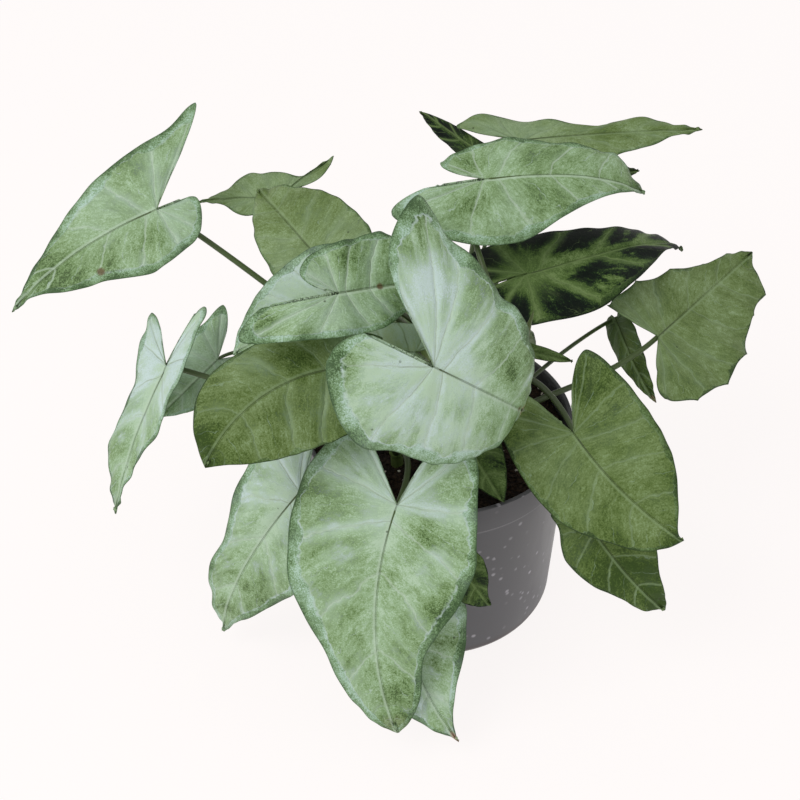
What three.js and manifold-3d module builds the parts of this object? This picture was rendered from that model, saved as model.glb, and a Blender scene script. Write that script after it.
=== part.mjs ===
// An arrowhead plant (Syngonium podophyllum) growing in a round plastic pot.
// Millimetres, +Z up. The origin is the centre of the pot's underside.

import * as THREE from 'three';
import { mergeVertices } from 'three/addons/utils/BufferGeometryUtils.js';
import Module from 'manifold-3d';

const wasm = await Module();
wasm.setup();

// ---------------------------------------------------------------- driving dimensions

const GAP = 0.35;                    // between pieces that touch on the real plant

const ROUND = 36;                    // sides of the pot and the soil
const POT_HEIGHT = 108;
const RIM_RADIUS = 66;
const BASE_RADIUS = 60.5;
const WALL = 1.8;
const BAND_HEIGHT = 16;              // the stiffer band round the rim
const BAND_PROUD = 1.1;
const FOOT_RISE = 2.5;               // how far the floor stands above the surface
const FOOT_INNER = 50;               // the foot is a ring from here to the wall
const PAD_RADIUS = 18;               // middle of the floor, level with the foot
const DRAIN_HOLES = 5;
const DRAIN_RADIUS = 4;
const DRAIN_CIRCLE = 34;

const SOIL_TOP = 98;
const SOIL_BUMP = 1.4;
const SOIL_RINGS = [46, 31, 15];     // radii inside its edge

const SHOOT_SIDES = 7;
const SHOOT_DEPTH = 34;              // below the top of the soil
const SHOOT_RADIUS = 3.4;
const JOINT_SWELL = 0.6;             // a ring round the shoot where a leaf grows
const SPIKE_LENGTH = 20;             // the rolled new leaf that ends each shoot

const STALK_SIDES = 5;
const SHEATH_RADIUS = 2.5;           // a stalk where it clasps its shoot
const STALK_RADIUS = 1.8;
const NECK_RADIUS = 1.4;             // a stalk where it meets its blade
const SPREAD = 38;                   // how far a stalk leans out from its shoot, in degrees
const RIDGE_REACH = 0.14;            // share of the midrib that stands out below the blade

const BLADE = 0.7;                   // thickness
const FOLD_FADE = 0.5;               // how much of a blade's fold is gone at the tip

// The outline of half a blade ahead of the stalk: share of the half width, share of the length.
const OUTLINE = [[0, 1], [0.14, 0.94], [0.38, 0.83], [0.67, 0.64], [0.9, 0.4], [1, 0.15]];
// Where the vein to each of those points leaves the midrib.
const VEIN_FEET = [1, 0.9, 0.7, 0.43, 0.17, 0.02];
const VEIN_SWEEP = 0.16;             // veins leave the midrib wide and bend toward the tip
const FLANK_AT = 0.42;               // how far back along a lobe its flank point lies
const NOTCH_AT = 0.6;                // how far out along a lobe its point beside the notch lies
const WAVE_OFFSET = 120;             // the right margin's waves against the left's, in degrees
// Rows of a blade: 0 is its tip, 5 its widest place, 7 the end of the lobe and 9 the notch.
const ROWS = [0, 0.5, 1, 1.7, 2.4, 3.1, 3.8, 4.5, 5.2, 6, 6.5, 7, 7.5, 8, 9];
const SMALL_ROWS = [0, 0.7, 1.6, 2.6, 3.6, 4.6, 5.4, 6, 7, 8, 9];

// Shoots: foot on the top of the soil, how far each leans to its top, and the height of its top.
const SHOOTS = {
  left: { foot: [-20, -23], lean: [-6, -6], top: 151 },
  front: { foot: [-2, -41], lean: [0, -6], top: 137 },
  middle: { foot: [-4, 1], lean: [-6, 4], top: 171 },
  right: { foot: [30, -5], lean: [8, 4], top: 153 },
  rear: { foot: [10, 25], lean: [0, 8], top: 143 },
};

const MINT = 0xb9cbb0;
const OLIVE = 0x7f9068;
const DARK = 0x55683f;

// Leaves. at: where stalk and blade meet. heading, pitch, roll: the way the midrib points there.
// Each half has its widest half width, its lobe's tip behind and beside the stalk, how far the lobe
// bulges toward the notch and on its outer flank, and how full the outline is from tip to middle.
// droop, bow: turn of the midrib down and to the left over its length; back: how far the lobes hang.
// fold: rise of each half from the midrib; curl: how far it bends down again toward the margin.
const plain = [1, 1, 1, 1, 1];
const LEAVES = [
  {
    name: 'leaf_01', colour: MINT, shoot: 'front', joint: 125, rise: 30, reach: 34, arrive: 60,
    at: [-5, -75, 204], heading: 9, pitch: -37, roll: 60, length: 81,
    left: { width: 46, back: 33, out: 66, belly: 20, flank: 0, full: [1, 0.95, 0.93, 0.94, 0.98] },
    right: { width: 42, back: 43, out: 17, belly: 13, flank: 9, full: [1.1, 1.1, 1.03, 1, 0.98] },
    droop: 60, bow: 0, back: 10, fold: 10, curl: 40, wave: 1, waves: 2.2, phase: 40,
  },
  {
    name: 'leaf_02', colour: MINT, shoot: 'left', joint: 107, rise: 34, reach: 30, arrive: 50,
    at: [-20, -77, 126], heading: -126, pitch: -56, roll: -20, length: 116,
    left: { width: 42, back: 37, out: 21, belly: 8, flank: -2, full: [1.6, 1.05, 0.78, 0.97, 1] },
    right: { width: 46, back: 28, out: 29, belly: 2, flank: 0, full: [1.2, 0.9, 0.78, 0.97, 1] },
    droop: 18, bow: 37, back: 10, fold: 10, curl: 20, wave: 1.5, waves: 2.6, phase: 0,
  },
  {
    name: 'leaf_03', colour: MINT, shoot: 'left', joint: 117, rise: 26, reach: 30, arrive: 40,
    at: [-64, -61, 118], heading: -175, pitch: -55, roll: -54, length: 120,
    left: { width: 22, back: 32, out: 9, belly: 3, flank: 0, full: [0.98, 0.9, 1.27, 1.39, 0.98] },
    right: { width: 28, back: 28, out: 16, belly: 3, flank: 6, full: [0.5, 0.91, 0.87, 0.72, 0.95] },
    droop: 30, bow: 15, back: 10, fold: 5, curl: 15, wave: 1.5, waves: 2.6, phase: 90,
  },
  {
    name: 'leaf_04', colour: OLIVE, shoot: 'left', joint: 131, rise: 24, reach: 24, arrive: 60,
    at: [-44, -57, 188], heading: 191, pitch: 2, roll: -41, length: 74,
    left: { width: 36, back: 23, out: 24, belly: 3, flank: -6, full: [1.33, 1.26, 1.09, 0.92, 0.86] },
    right: { width: 26, back: 20, out: 12, belly: 1, flank: -6, full: [1.35, 1.33, 1.25, 0.9, 0.79] },
    droop: 14, bow: 61, back: 10, fold: 8, curl: 20, wave: 1, waves: 2.4, phase: 0,
  },
  {
    name: 'leaf_05', colour: MINT, shoot: 'middle', joint: 153, rise: 40, reach: 40, arrive: 130,
    at: [-44, -48, 221], heading: 16, pitch: 0, roll: 41, length: 43,
    left: { width: 23, back: 14, out: 12, belly: 3, flank: 0, full: [2.2, 1.9, 1.45, 1.15, 0.95] },
    right: { width: 19, back: 44, out: 12, belly: 9, flank: 0, full: plain },
    droop: 30, bow: 0, back: 15, fold: 10, curl: 20, wave: 1.6, waves: 2.2, phase: 0,
  },
  {
    name: 'leaf_06', colour: OLIVE, shoot: 'middle', joint: 143, rise: 24, reach: 24, arrive: 60,
    at: [-54, 5, 198], heading: 121, pitch: 4, roll: -25, length: 75,
    left: { width: 21, back: 14, out: 14, belly: 3, flank: 0, full: plain },
    right: { width: 28, back: 16, out: 18, belly: 3, flank: 0, full: plain },
    droop: 20, bow: 0, back: 10, fold: 5, curl: 10, wave: 1, waves: 2.2, phase: 0,
  },
  {
    name: 'leaf_07', colour: OLIVE, shoot: 'rear', joint: 131, rise: 24, reach: 30, arrive: 50, small: true,
    at: [-79, 87, 178], heading: 170, pitch: -4, roll: -20, length: 47,
    left: { width: 12, back: 14, out: 8, belly: 3, flank: 0, full: [0.3, 0.3, 0.5, 1, 1] },
    right: { width: 16, back: 22, out: 29, belly: 6, flank: -8, full: [0.3, 0.3, 0.5, 1, 1] },
    droop: 20, bow: 0, back: 10, fold: 10, curl: 10, wave: 1.2, waves: 1.8, phase: 0,
  },
  {
    name: 'leaf_08', colour: MINT, shoot: 'middle', joint: 109, rise: 10, reach: 20, arrive: 60,
    at: [-134, 50, 196], heading: -161, pitch: -14, roll: -32, length: 86,
    left: { width: 24, back: 16, out: 17, belly: 13, flank: 1, full: [0.4, 0.35, 0.9, 1, 1.2] },
    right: { width: 38, back: 37, out: 45, belly: 2, flank: -6, full: [0.4, 0.35, 0.45, 0.6, 0.8] },
    droop: 20, bow: 21, back: 5, fold: 5, curl: 10, wave: 1.6, waves: 2.5, phase: 0,
  },
  {
    name: 'leaf_09', colour: MINT, shoot: 'left', joint: 111, rise: 10, reach: 14, arrive: 80,
    at: [-129, -2, 143], heading: -128, pitch: -44, roll: 17, length: 77,
    left: { width: 17, back: 33, out: 5, belly: 9, flank: 0, full: [0.3, 0.3, 0.7, 1, 1] },
    right: { width: 18, back: 18, out: 29, belly: 4, flank: 0, full: [1.3, 1.4, 1.5, 0.9, 1] },
    droop: 20, bow: 0, back: 10, fold: 15, curl: 10, wave: 1, waves: 2, phase: 0,
  },
  {
    name: 'leaf_10', colour: MINT, shoot: 'middle', joint: 127, rise: 24, reach: 30, arrive: 50,
    small: true,
    at: [-107, 14, 133], heading: -139, pitch: -24, roll: -41, length: 40,
    left: { width: 14, back: 12, out: 12, belly: 2, flank: 0, full: plain },
    right: { width: 17, back: 21, out: 17, belly: 3, flank: 0, full: plain },
    droop: 20, bow: 0, back: 10, fold: 5, curl: 10, wave: 1, waves: 2, phase: 0,
  },
  {
    name: 'leaf_11', colour: MINT, shoot: 'middle', joint: 161, rise: 14, reach: 14, arrive: 60, small: true,
    at: [-47, -13, 196], heading: -159, pitch: -25, roll: -49, length: 57,
    left: { width: 14, back: 12, out: 10, belly: 2, flank: 0, full: plain },
    right: { width: 22, back: 12, out: 16, belly: 2, flank: 0, full: plain },
    droop: 25, bow: 0, back: 10, fold: 5, curl: 10, wave: 1, waves: 2, phase: 0,
  },
  {
    name: 'leaf_12', colour: MINT, shoot: 'right', joint: 141, rise: 30, reach: 34, arrive: 60,
    at: [21, 59, 207], heading: 7, pitch: 4, roll: 32, length: 96,
    left: { width: 29, back: 19, out: 14, belly: 3, flank: -3, full: [1.4, 1.75, 0.95, 0.85, 0.85] },
    right: { width: 28, back: 46, out: 10, belly: 6, flank: 6, full: [0.32, 0.32, 0.52, 0.83, 1.15] },
    droop: 57, bow: -4, back: 10, fold: -10, curl: 15, wave: 1.2, waves: 2.2, phase: 0,
  },
  {
    name: 'leaf_13', colour: OLIVE, shoot: 'rear', joint: 123, rise: 30, reach: 40, arrive: 60,
    at: [42, 127, 187], heading: 13, pitch: -2, roll: 21, length: 106,
    left: { width: 13, back: 29, out: 19, belly: 5, flank: 1, full: [1.15, 1.2, 1.05, 0.5, 1] },
    right: { width: 16, back: 20, out: 14, belly: 3, flank: 0, full: [0.8, 0.6, 1, 1.15, 1] },
    droop: 9, bow: 1, back: 10, fold: 5, curl: 10, wave: 2.2, waves: 2.6, phase: 200,
  },
  {
    name: 'leaf_14', colour: DARK, shoot: 'rear', joint: 137, rise: 20, reach: 30, arrive: 50, small: true,
    at: [22, 130, 177], heading: 136, pitch: 9, roll: -58, length: 46,
    left: { width: 7, back: 8, out: 6, belly: 1, flank: 0, full: plain },
    right: { width: 6, back: 8, out: 6, belly: 1, flank: 0, full: plain },
    droop: 10, bow: 0, back: 10, fold: 5, curl: 10, wave: 0.5, waves: 2, phase: 0,
  },
  {
    name: 'leaf_15', colour: DARK, shoot: 'right', joint: 129, rise: 22, reach: 20, arrive: 50,
    at: [43, 46, 161], heading: 18, pitch: 5, roll: 10, length: 122,
    left: { width: 28, back: 34, out: 16, belly: 9, flank: 1, full: [1.2, 0.91, 0.75, 0.77, 0.85] },
    right: { width: 27, back: 25, out: 18, belly: 10, flank: 6, full: [0.44, 0.32, 0.5, 0.93, 1.2] },
    droop: 57, bow: 31, back: 10, fold: 5, curl: 10, wave: 1, waves: 2.6, phase: 0,
  },
  {
    name: 'leaf_16', colour: OLIVE, shoot: 'right', joint: 107, rise: 20, reach: 40, arrive: 30,
    at: [110, 37, 129], heading: 53, pitch: -5, roll: 30, length: 107,
    left: { width: 29, back: 11, out: 29, belly: 2, flank: 0, full: [1, 0.8, 0.67, 0.85, 1] },
    right: { width: 42, back: 29, out: 25, belly: 3, flank: 0, full: [0.9, 1.4, 0.92, 1, 1] },
    droop: 0, bow: 0, back: 0, fold: 5, curl: 5, wave: 1, waves: 3, phase: 0,
  },
  {
    name: 'leaf_17', colour: OLIVE, shoot: 'right', joint: 117, rise: 20, reach: 30, arrive: 50, small: true,
    at: [92, 56, 123], heading: -75, pitch: -20, roll: 57, length: 48,
    left: { width: 9, back: 6, out: 5, belly: 1, flank: 0, full: plain },
    right: { width: 9, back: 6, out: 3, belly: 1, flank: 0, full: plain },
    droop: 20, bow: 0, back: 10, fold: 10, curl: 10, wave: 0.5, waves: 2, phase: 0,
  },
  {
    name: 'leaf_18', colour: OLIVE, shoot: 'right', joint: 135, rise: 24, reach: 26, arrive: 50,
    at: [59, -49, 143], heading: -51, pitch: -30, roll: 42, length: 68,
    left: { width: 36, back: 28, out: 26, belly: 4, flank: -2, full: [0.3, 0.87, 1.02, 0.95, 0.93] },
    right: { width: 32, back: 38, out: 31, belly: 11, flank: -4, full: [1.6, 1.21, 1.04, 1.03, 1.01] },
    droop: 7, bow: 22, back: 10, fold: 5, curl: 10, wave: 1, waves: 2.2, phase: 0,
  },
  {
    name: 'leaf_19', colour: OLIVE, shoot: 'right', joint: 112, rise: 24, reach: 34, arrive: 0,
    at: [69, -64, 99], heading: -43, pitch: -41, roll: 42, length: 58,
    left: { width: 22, back: 14, out: 12, belly: 2, flank: 0, full: [1.15, 0.89, 0.85, 1.04, 1] },
    right: { width: 18, back: 14, out: 13, belly: 2, flank: -3, full: [0.85, 1.14, 0.85, 1.01, 1.09] },
    droop: 30, bow: 13, back: 10, fold: 5, curl: 10, wave: 1, waves: 2, phase: 0,
  },
  {
    name: 'leaf_20', colour: MINT, shoot: 'front', joint: 110, rise: 30, reach: 44, arrive: -25,
    at: [-22, -86, 73], heading: -70, pitch: -49, roll: 14, length: 76,
    left: { width: 29, back: 14, out: 12, belly: 2, flank: -1, full: [0.3, 0.46, 0.79, 1.06, 1.1] },
    right: { width: 15, back: 14, out: 12, belly: 2, flank: 0, full: [0.86, 1.31, 1.46, 0.96, 1] },
    droop: 11, bow: 23, back: 10, fold: 5, curl: 10, wave: 1, waves: 2, phase: 0,
  },
  {
    name: 'leaf_21', colour: DARK, shoot: 'front', joint: 120, rise: 20, reach: 22, arrive: 40, small: true,
    at: [4, -82, 103], heading: -44, pitch: -43, roll: 30, length: 34,
    left: { width: 11, back: 8, out: 8, belly: 1, flank: 0, full: [0.6, 0.5, 0.9, 1, 0.8] },
    right: { width: 14, back: 8, out: 8, belly: 1, flank: 0, full: [1.5, 1.3, 1.1, 1, 1] },
    droop: 23, bow: 8, back: 10, fold: 5, curl: 10, wave: 0.5, waves: 2, phase: 0,
  },
  {
    name: 'leaf_22', colour: DARK, shoot: 'middle', joint: 106, rise: 12, reach: 12, arrive: 40, small: true,
    at: [9, -27, 125], heading: -63, pitch: -12, roll: 23, length: 42,
    left: { width: 15, back: 10, out: 9, belly: 1, flank: 0, full: plain },
    right: { width: 12, back: 10, out: 9, belly: 1, flank: 0, full: plain },
    droop: 20, bow: 0, back: 10, fold: 5, curl: 10, wave: 0.5, waves: 2, phase: 0,
  },
  {
    name: 'leaf_23', colour: DARK, shoot: 'right', joint: 123, rise: 8, reach: 8, arrive: 60, small: true,
    at: [45, 21, 133], heading: -13, pitch: -8, roll: 50, length: 22,
    left: { width: 3.5, back: 3, out: 3, belly: 0.5, flank: 0, full: plain },
    right: { width: 3.5, back: 3, out: 3, belly: 0.5, flank: 0, full: plain },
    droop: 20, bow: 0, back: 10, fold: 5, curl: 10, wave: 0, waves: 1, phase: 0,
  },
  {
    name: 'leaf_24', colour: OLIVE, shoot: 'middle', joint: 123, rise: 20, reach: 20, arrive: 60,
    small: true,
    at: [-12, -38, 181], heading: 161, pitch: -6, roll: -29, length: 45,
    left: { width: 16, back: 12, out: 10, belly: 2, flank: 0, full: plain },
    right: { width: 14, back: 10, out: 8, belly: 2, flank: 0, full: plain },
    droop: 20, bow: 0, back: 10, fold: 5, curl: 10, wave: 0.5, waves: 2, phase: 0,
  },
  {
    name: 'leaf_25', colour: DARK, shoot: 'rear', joint: 115, rise: 20, reach: 30, arrive: 50, small: true,
    at: [70, 139, 155], heading: 12, pitch: 6, roll: 20, length: 44,
    left: { width: 10, back: 8, out: 7, belly: 1, flank: 0, full: plain },
    right: { width: 10, back: 8, out: 7, belly: 1, flank: 0, full: plain },
    droop: 20, bow: 0, back: 10, fold: 5, curl: 10, wave: 0.5, waves: 2, phase: 0,
  },
  {
    name: 'leaf_26', colour: OLIVE, shoot: 'middle', joint: 119, rise: 20, reach: 20, arrive: 50,
    at: [-25, 45, 130], heading: 116, pitch: -14, roll: -5, length: 76,
    left: { width: 28, back: 20, out: 18, belly: 3, flank: 0, full: plain },
    right: { width: 28, back: 20, out: 18, belly: 3, flank: 0, full: plain },
    droop: 30, bow: 0, back: 10, fold: 8, curl: 15, wave: 1, waves: 2.4, phase: 60,
  },
  {
    name: 'leaf_27', colour: OLIVE, shoot: 'rear', joint: 107, rise: 18, reach: 20, arrive: 50,
    at: [26, 53, 113], heading: 88, pitch: -16, roll: 6, length: 74,
    left: { width: 27, back: 13, out: 17, belly: 3, flank: 0, full: plain },
    right: { width: 27, back: 13, out: 17, belly: 3, flank: 0, full: plain },
    droop: 30, bow: 0, back: 10, fold: 8, curl: 15, wave: 1, waves: 2.4, phase: 10,
  },
];

// ---------------------------------------------------------------- curves and frames

const radians = THREE.MathUtils.degToRad;

function turn(axis, degrees) {
  return new THREE.Matrix4().makeRotationAxis(axis, radians(degrees));
}

const X = new THREE.Vector3(1, 0, 0);
const Y = new THREE.Vector3(0, 1, 0);
const Z = new THREE.Vector3(0, 0, 1);

// A point on the curve through all the given points, at t from 0 to the last one's number.
function through(points, t) {
  const last = points.length - 1;
  const i = Math.min(Math.floor(t), last - 1);
  const f = t - i;
  const [p1, p2] = [points[i], points[i + 1]];
  const p0 = i > 0 ? points[i - 1] : p1.map((v, k) => 2 * v - p2[k]);
  const p3 = i + 2 <= last ? points[i + 2] : p2.map((v, k) => 2 * v - p1[k]);
  return p1.map((v, k) => 0.5 * (2 * v + (p2[k] - p0[k]) * f
    + (2 * p0[k] - 5 * v + 4 * p2[k] - p3[k]) * f ** 2
    + (3 * v - p0[k] - 3 * p2[k] + p3[k]) * f ** 3));
}

// Sideways and upward run of an arc of length s that starts at an angle and turns by bend a millimetre.
function arc(s, angle, bend) {
  if (Math.abs(bend) < 1e-6) {
    return [s * Math.cos(angle), s * Math.sin(angle)];
  }
  const end = angle + bend * s;
  return [(Math.sin(end) - Math.sin(angle)) / bend, (Math.cos(angle) - Math.cos(end)) / bend];
}

// ---------------------------------------------------------------- solids

function geometryOf(positions, triangles) {
  const geometry = new THREE.BufferGeometry();
  geometry.setAttribute('position', new THREE.Float32BufferAttribute(positions, 3));
  geometry.setIndex(triangles);
  return geometry;
}

function solidOf(geometry) {
  const bare = geometry.clone();
  bare.deleteAttribute('normal');
  bare.deleteAttribute('uv');
  const merged = mergeVertices(bare, 1e-4);
  return new wasm.Manifold(new wasm.Mesh({
    numProp: 3,
    vertProperties: new Float32Array(merged.attributes.position.array),
    triVerts: new Uint32Array(merged.index.array),
  }));
}

function geometryFrom(solid) {
  const mesh = solid.getMesh();
  return geometryOf(Array.from(mesh.vertProperties), Array.from(mesh.triVerts));
}

// The body that holds most of a solid, without crumbs that a cut may leave.
function mainBody(solid) {
  return solid.decompose().sort((a, b) => b.volume() - a.volume())[0];
}

// A closed tube through the points, with a radius of its own at each.
function tube(points, radii, sides) {
  const positions = [];
  const triangles = [];
  const along = points.map((p, i) => points[Math.min(i + 1, points.length - 1)].clone()
    .sub(points[Math.max(i - 1, 0)]).normalize());
  let across = new THREE.Vector3().crossVectors(along[0], Math.abs(along[0].x) < 0.9 ? X : Y).normalize();
  points.forEach((p, i) => {
    across = across.sub(along[i].clone().multiplyScalar(across.dot(along[i]))).normalize();
    const other = new THREE.Vector3().crossVectors(along[i], across);
    for (let k = 0; k < sides; k++) {
      const angle = (2 * Math.PI * k) / sides;
      const corner = p.clone()
        .addScaledVector(across, radii[i] * Math.cos(angle))
        .addScaledVector(other, radii[i] * Math.sin(angle));
      positions.push(corner.x, corner.y, corner.z);
    }
  });
  const rings = points.length;
  for (let i = 0; i < rings - 1; i++) {
    for (let k = 0; k < sides; k++) {
      const a = i * sides + k;
      const b = i * sides + (k + 1) % sides;
      triangles.push(a, b, b + sides, a, b + sides, a + sides);
    }
  }
  for (let k = 1; k < sides - 1; k++) {
    triangles.push(0, k + 1, k);
    const top = (rings - 1) * sides;
    triangles.push(top, top + k, top + k + 1);
  }
  return geometryOf(positions, triangles);
}

// ---------------------------------------------------------------- pot and soil

function wallRadius(height) {
  return THREE.MathUtils.lerp(BASE_RADIUS, RIM_RADIUS - BAND_PROUD, height / POT_HEIGHT);
}

function lathe(profile) {
  const geometry = new THREE.LatheGeometry(profile.map(([r, z]) => new THREE.Vector2(r, z)), ROUND);
  return geometry.applyMatrix4(turn(X, 90));
}

function makePot() {
  const bandFoot = POT_HEIGHT - BAND_HEIGHT;
  const floorTop = FOOT_RISE + WALL;
  const body = solidOf(lathe([
    [0, 0],
    [PAD_RADIUS, 0],
    [PAD_RADIUS + 1, FOOT_RISE],
    [FOOT_INNER, FOOT_RISE],
    [FOOT_INNER + 1, 0],
    [BASE_RADIUS - 2, 0],
    [BASE_RADIUS - 0.6, 0.5],
    [wallRadius(2), 2],
    [wallRadius(bandFoot), bandFoot],
    [wallRadius(bandFoot) + BAND_PROUD, bandFoot + 1],
    [RIM_RADIUS, POT_HEIGHT - 1],
    [RIM_RADIUS - 0.6, POT_HEIGHT],
    [RIM_RADIUS - 2, POT_HEIGHT],
    [wallRadius(POT_HEIGHT - 2) - WALL, POT_HEIGHT - 2],
    [wallRadius(floorTop) - WALL, floorTop],
    [0, floorTop],
  ]));
  let pot = body;
  for (let i = 0; i < DRAIN_HOLES; i++) {
    const angle = (2 * Math.PI * (i + 0.5)) / DRAIN_HOLES;
    const drill = new THREE.CylinderGeometry(DRAIN_RADIUS, DRAIN_RADIUS, 4 * floorTop, 12);
    drill.applyMatrix4(turn(X, 90));
    drill.translate(DRAIN_CIRCLE * Math.cos(angle), DRAIN_CIRCLE * Math.sin(angle), 0);
    pot = pot.subtract(solidOf(drill));
  }
  return geometryFrom(pot);
}

function soilHeight(x, y) {
  const hills = 0.6 * Math.sin(x / 9 + 1) * Math.cos(y / 7) + 0.4 * Math.sin(y / 5 - x / 11);
  return SOIL_TOP + SOIL_BUMP * hills;
}

function makeSoil(shootMoulds) {
  const floorTop = FOOT_RISE + WALL + GAP;
  const edge = wallRadius(SOIL_TOP) - WALL - GAP;
  const rings = [edge, ...SOIL_RINGS];
  const positions = [];
  const triangles = [];
  const ring = (radius, height) => {
    for (let k = 0; k < ROUND; k++) {
      const angle = (2 * Math.PI * k) / ROUND;
      const [x, y] = [radius * Math.sin(angle), radius * Math.cos(angle)];
      positions.push(x, y, height(x, y));
    }
  };
  ring(wallRadius(floorTop) - WALL - GAP, () => floorTop);
  rings.forEach((radius) => ring(radius, soilHeight));
  const foot = positions.length / 3;
  positions.push(0, 0, floorTop, 0, 0, soilHeight(0, 0));
  for (let i = 0; i < rings.length; i++) {
    for (let k = 0; k < ROUND; k++) {
      const a = i * ROUND + k;
      const b = i * ROUND + (k + 1) % ROUND;
      triangles.push(a, b + ROUND, b, a, a + ROUND, b + ROUND);
    }
  }
  for (let k = 0; k < ROUND; k++) {
    const next = (k + 1) % ROUND;
    triangles.push(foot, k, next);
    triangles.push(foot + 1, rings.length * ROUND + next, rings.length * ROUND + k);
  }
  let soil = solidOf(geometryOf(positions, triangles));
  shootMoulds.forEach((mould) => {
    soil = soil.subtract(mould);
  });
  return geometryFrom(soil);
}

// ---------------------------------------------------------------- shoots

// A place on a shoot's centre line at a height; it bends gently the way that it leans.
function shootPoint(shoot, height) {
  const u = Math.max(0, (height - SOIL_TOP) / (shoot.top - SOIL_TOP));
  return new THREE.Vector3(
    shoot.foot[0] + shoot.lean[0] * u ** 1.5,
    shoot.foot[1] + shoot.lean[1] * u ** 1.5,
    height,
  );
}

function makeShoot(shoot, joints, extra) {
  const points = [];
  const radii = [];
  const add = (height, radius) => {
    points.push(shootPoint(shoot, height));
    radii.push(radius + extra);
  };
  add(SOIL_TOP - SHOOT_DEPTH - extra, SHOOT_RADIUS - 0.8);
  add(SOIL_TOP - 4, SHOOT_RADIUS);
  joints.forEach((height) => {
    const slim = SHOOT_RADIUS - 1.2 * (height - SOIL_TOP) / (shoot.top - SOIL_TOP);
    add(height - 1.6, slim);
    add(height, slim + JOINT_SWELL);
    add(height + 1.6, slim - 0.1);
  });
  add(shoot.top, SHOOT_RADIUS - 1.3);
  add(shoot.top + SPIKE_LENGTH * 0.5, SHOOT_RADIUS - 1.6);
  add(shoot.top + SPIKE_LENGTH, 0.5);
  return tube(points, radii, SHOOT_SIDES);
}

// ---------------------------------------------------------------- leaves

function halfOutline(leaf, half) {
  const { width, back, out, belly, flank, full } = half;
  const reach = Math.hypot(back, out);
  const ahead = OUTLINE.map(([x, y], i) => [x * width * (i > 0 ? full[i - 1] : 1), y * leaf.length]);
  return [
    ...ahead,
    [width + (out - width) * FLANK_AT + 0.05 * width + flank, -FLANK_AT * back],
    [out, -back],
    [NOTCH_AT * out - belly * back / reach, -NOTCH_AT * back - belly * out / reach],
    [0, 0],
  ];
}

// Where a point lies on the flattened blade. row: 0 at the tip to 9 at the notch; share: 0 at the
// midrib to 1 at the margin. A row follows a vein.
function flatPoint(leaf, outline, row, share) {
  const [x, y] = through(outline, row);
  const feet = VEIN_FEET.map((v) => [v * leaf.length]).concat([[0], [0], [0], [0]]);
  const foot = row >= 6 ? 0 : through(feet, row)[0];
  const sweep = VEIN_SWEEP * leaf.length * Math.max(0, 1 - row / 7);
  return [x * share, foot + (y - foot) * share - sweep * share * (1 - share) * (x > 0 ? 1 : 0)];
}

// Places and frames along the midrib, from the end of the longer lobe to the tip.
function makeSpine(leaf) {
  const lobe = Math.max(leaf.left.back, leaf.right.back);
  const lobeSteps = 8;
  const steps = 31;
  const stations = [];
  for (let i = 0; i < lobeSteps; i++) {
    stations.push(-lobe * (1 - i / lobeSteps));
  }
  for (let i = 0; i <= steps; i++) {
    stations.push(leaf.length * i / steps);
  }
  const frames = stations.map((y) => {
    const u = Math.max(0, y / leaf.length);
    const v = Math.max(0, -y / lobe);
    const bend = -leaf.droop * u ** 1.4 + leaf.back * v;
    return turn(Z, leaf.bow * u).multiply(turn(X, bend));
  });
  const column = (i, k) => new THREE.Vector3().setFromMatrixColumn(frames[i], k);
  const places = stations.map(() => new THREE.Vector3());
  const step = (i, j) => column(i, 1).add(column(j, 1)).multiplyScalar((stations[j] - stations[i]) / 2);
  for (let i = lobeSteps + 1; i < stations.length; i++) {
    places[i].copy(places[i - 1]).add(step(i - 1, i));
  }
  for (let i = lobeSteps - 1; i >= 0; i--) {
    places[i].copy(places[i + 1]).add(step(i + 1, i));
  }
  return (y) => {
    let i = 0;
    while (i < stations.length - 2 && stations[i + 1] < y) {
      i++;
    }
    const f = (y - stations[i]) / (stations[i + 1] - stations[i]);
    return {
      place: places[i].clone().lerp(places[i + 1], f),
      side: column(i, 0).lerp(column(i + 1, 0), f),
      along: column(i, 1).lerp(column(i + 1, 1), f),
      up: column(i, 2).lerp(column(i + 1, 2), f),
    };
  };
}

// The bent blade: lifts a flat point into the leaf's own space.
function bentPoint(leaf, spine, half, sign, x, y) {
  const { place, side, up } = spine(y);
  const u = Math.min(1, Math.max(0, y / leaf.length));
  const angle = radians(leaf.fold * (1 - FOLD_FADE * u));
  const bend = -radians(leaf.curl) / half.width;
  const [out, rise] = arc(x, angle, bend);
  const offset = sign < 0 ? 0 : WAVE_OFFSET;
  const ripple = leaf.wave * (Math.abs(x) / half.width) ** 1.6
    * Math.sin(2 * Math.PI * leaf.waves * y / leaf.length + radians(leaf.phase + offset));
  const lean = angle + bend * x;
  return place
    .addScaledVector(side, sign * (out - ripple * Math.sin(lean)))
    .addScaledVector(up, rise + ripple * Math.cos(lean));
}

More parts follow.
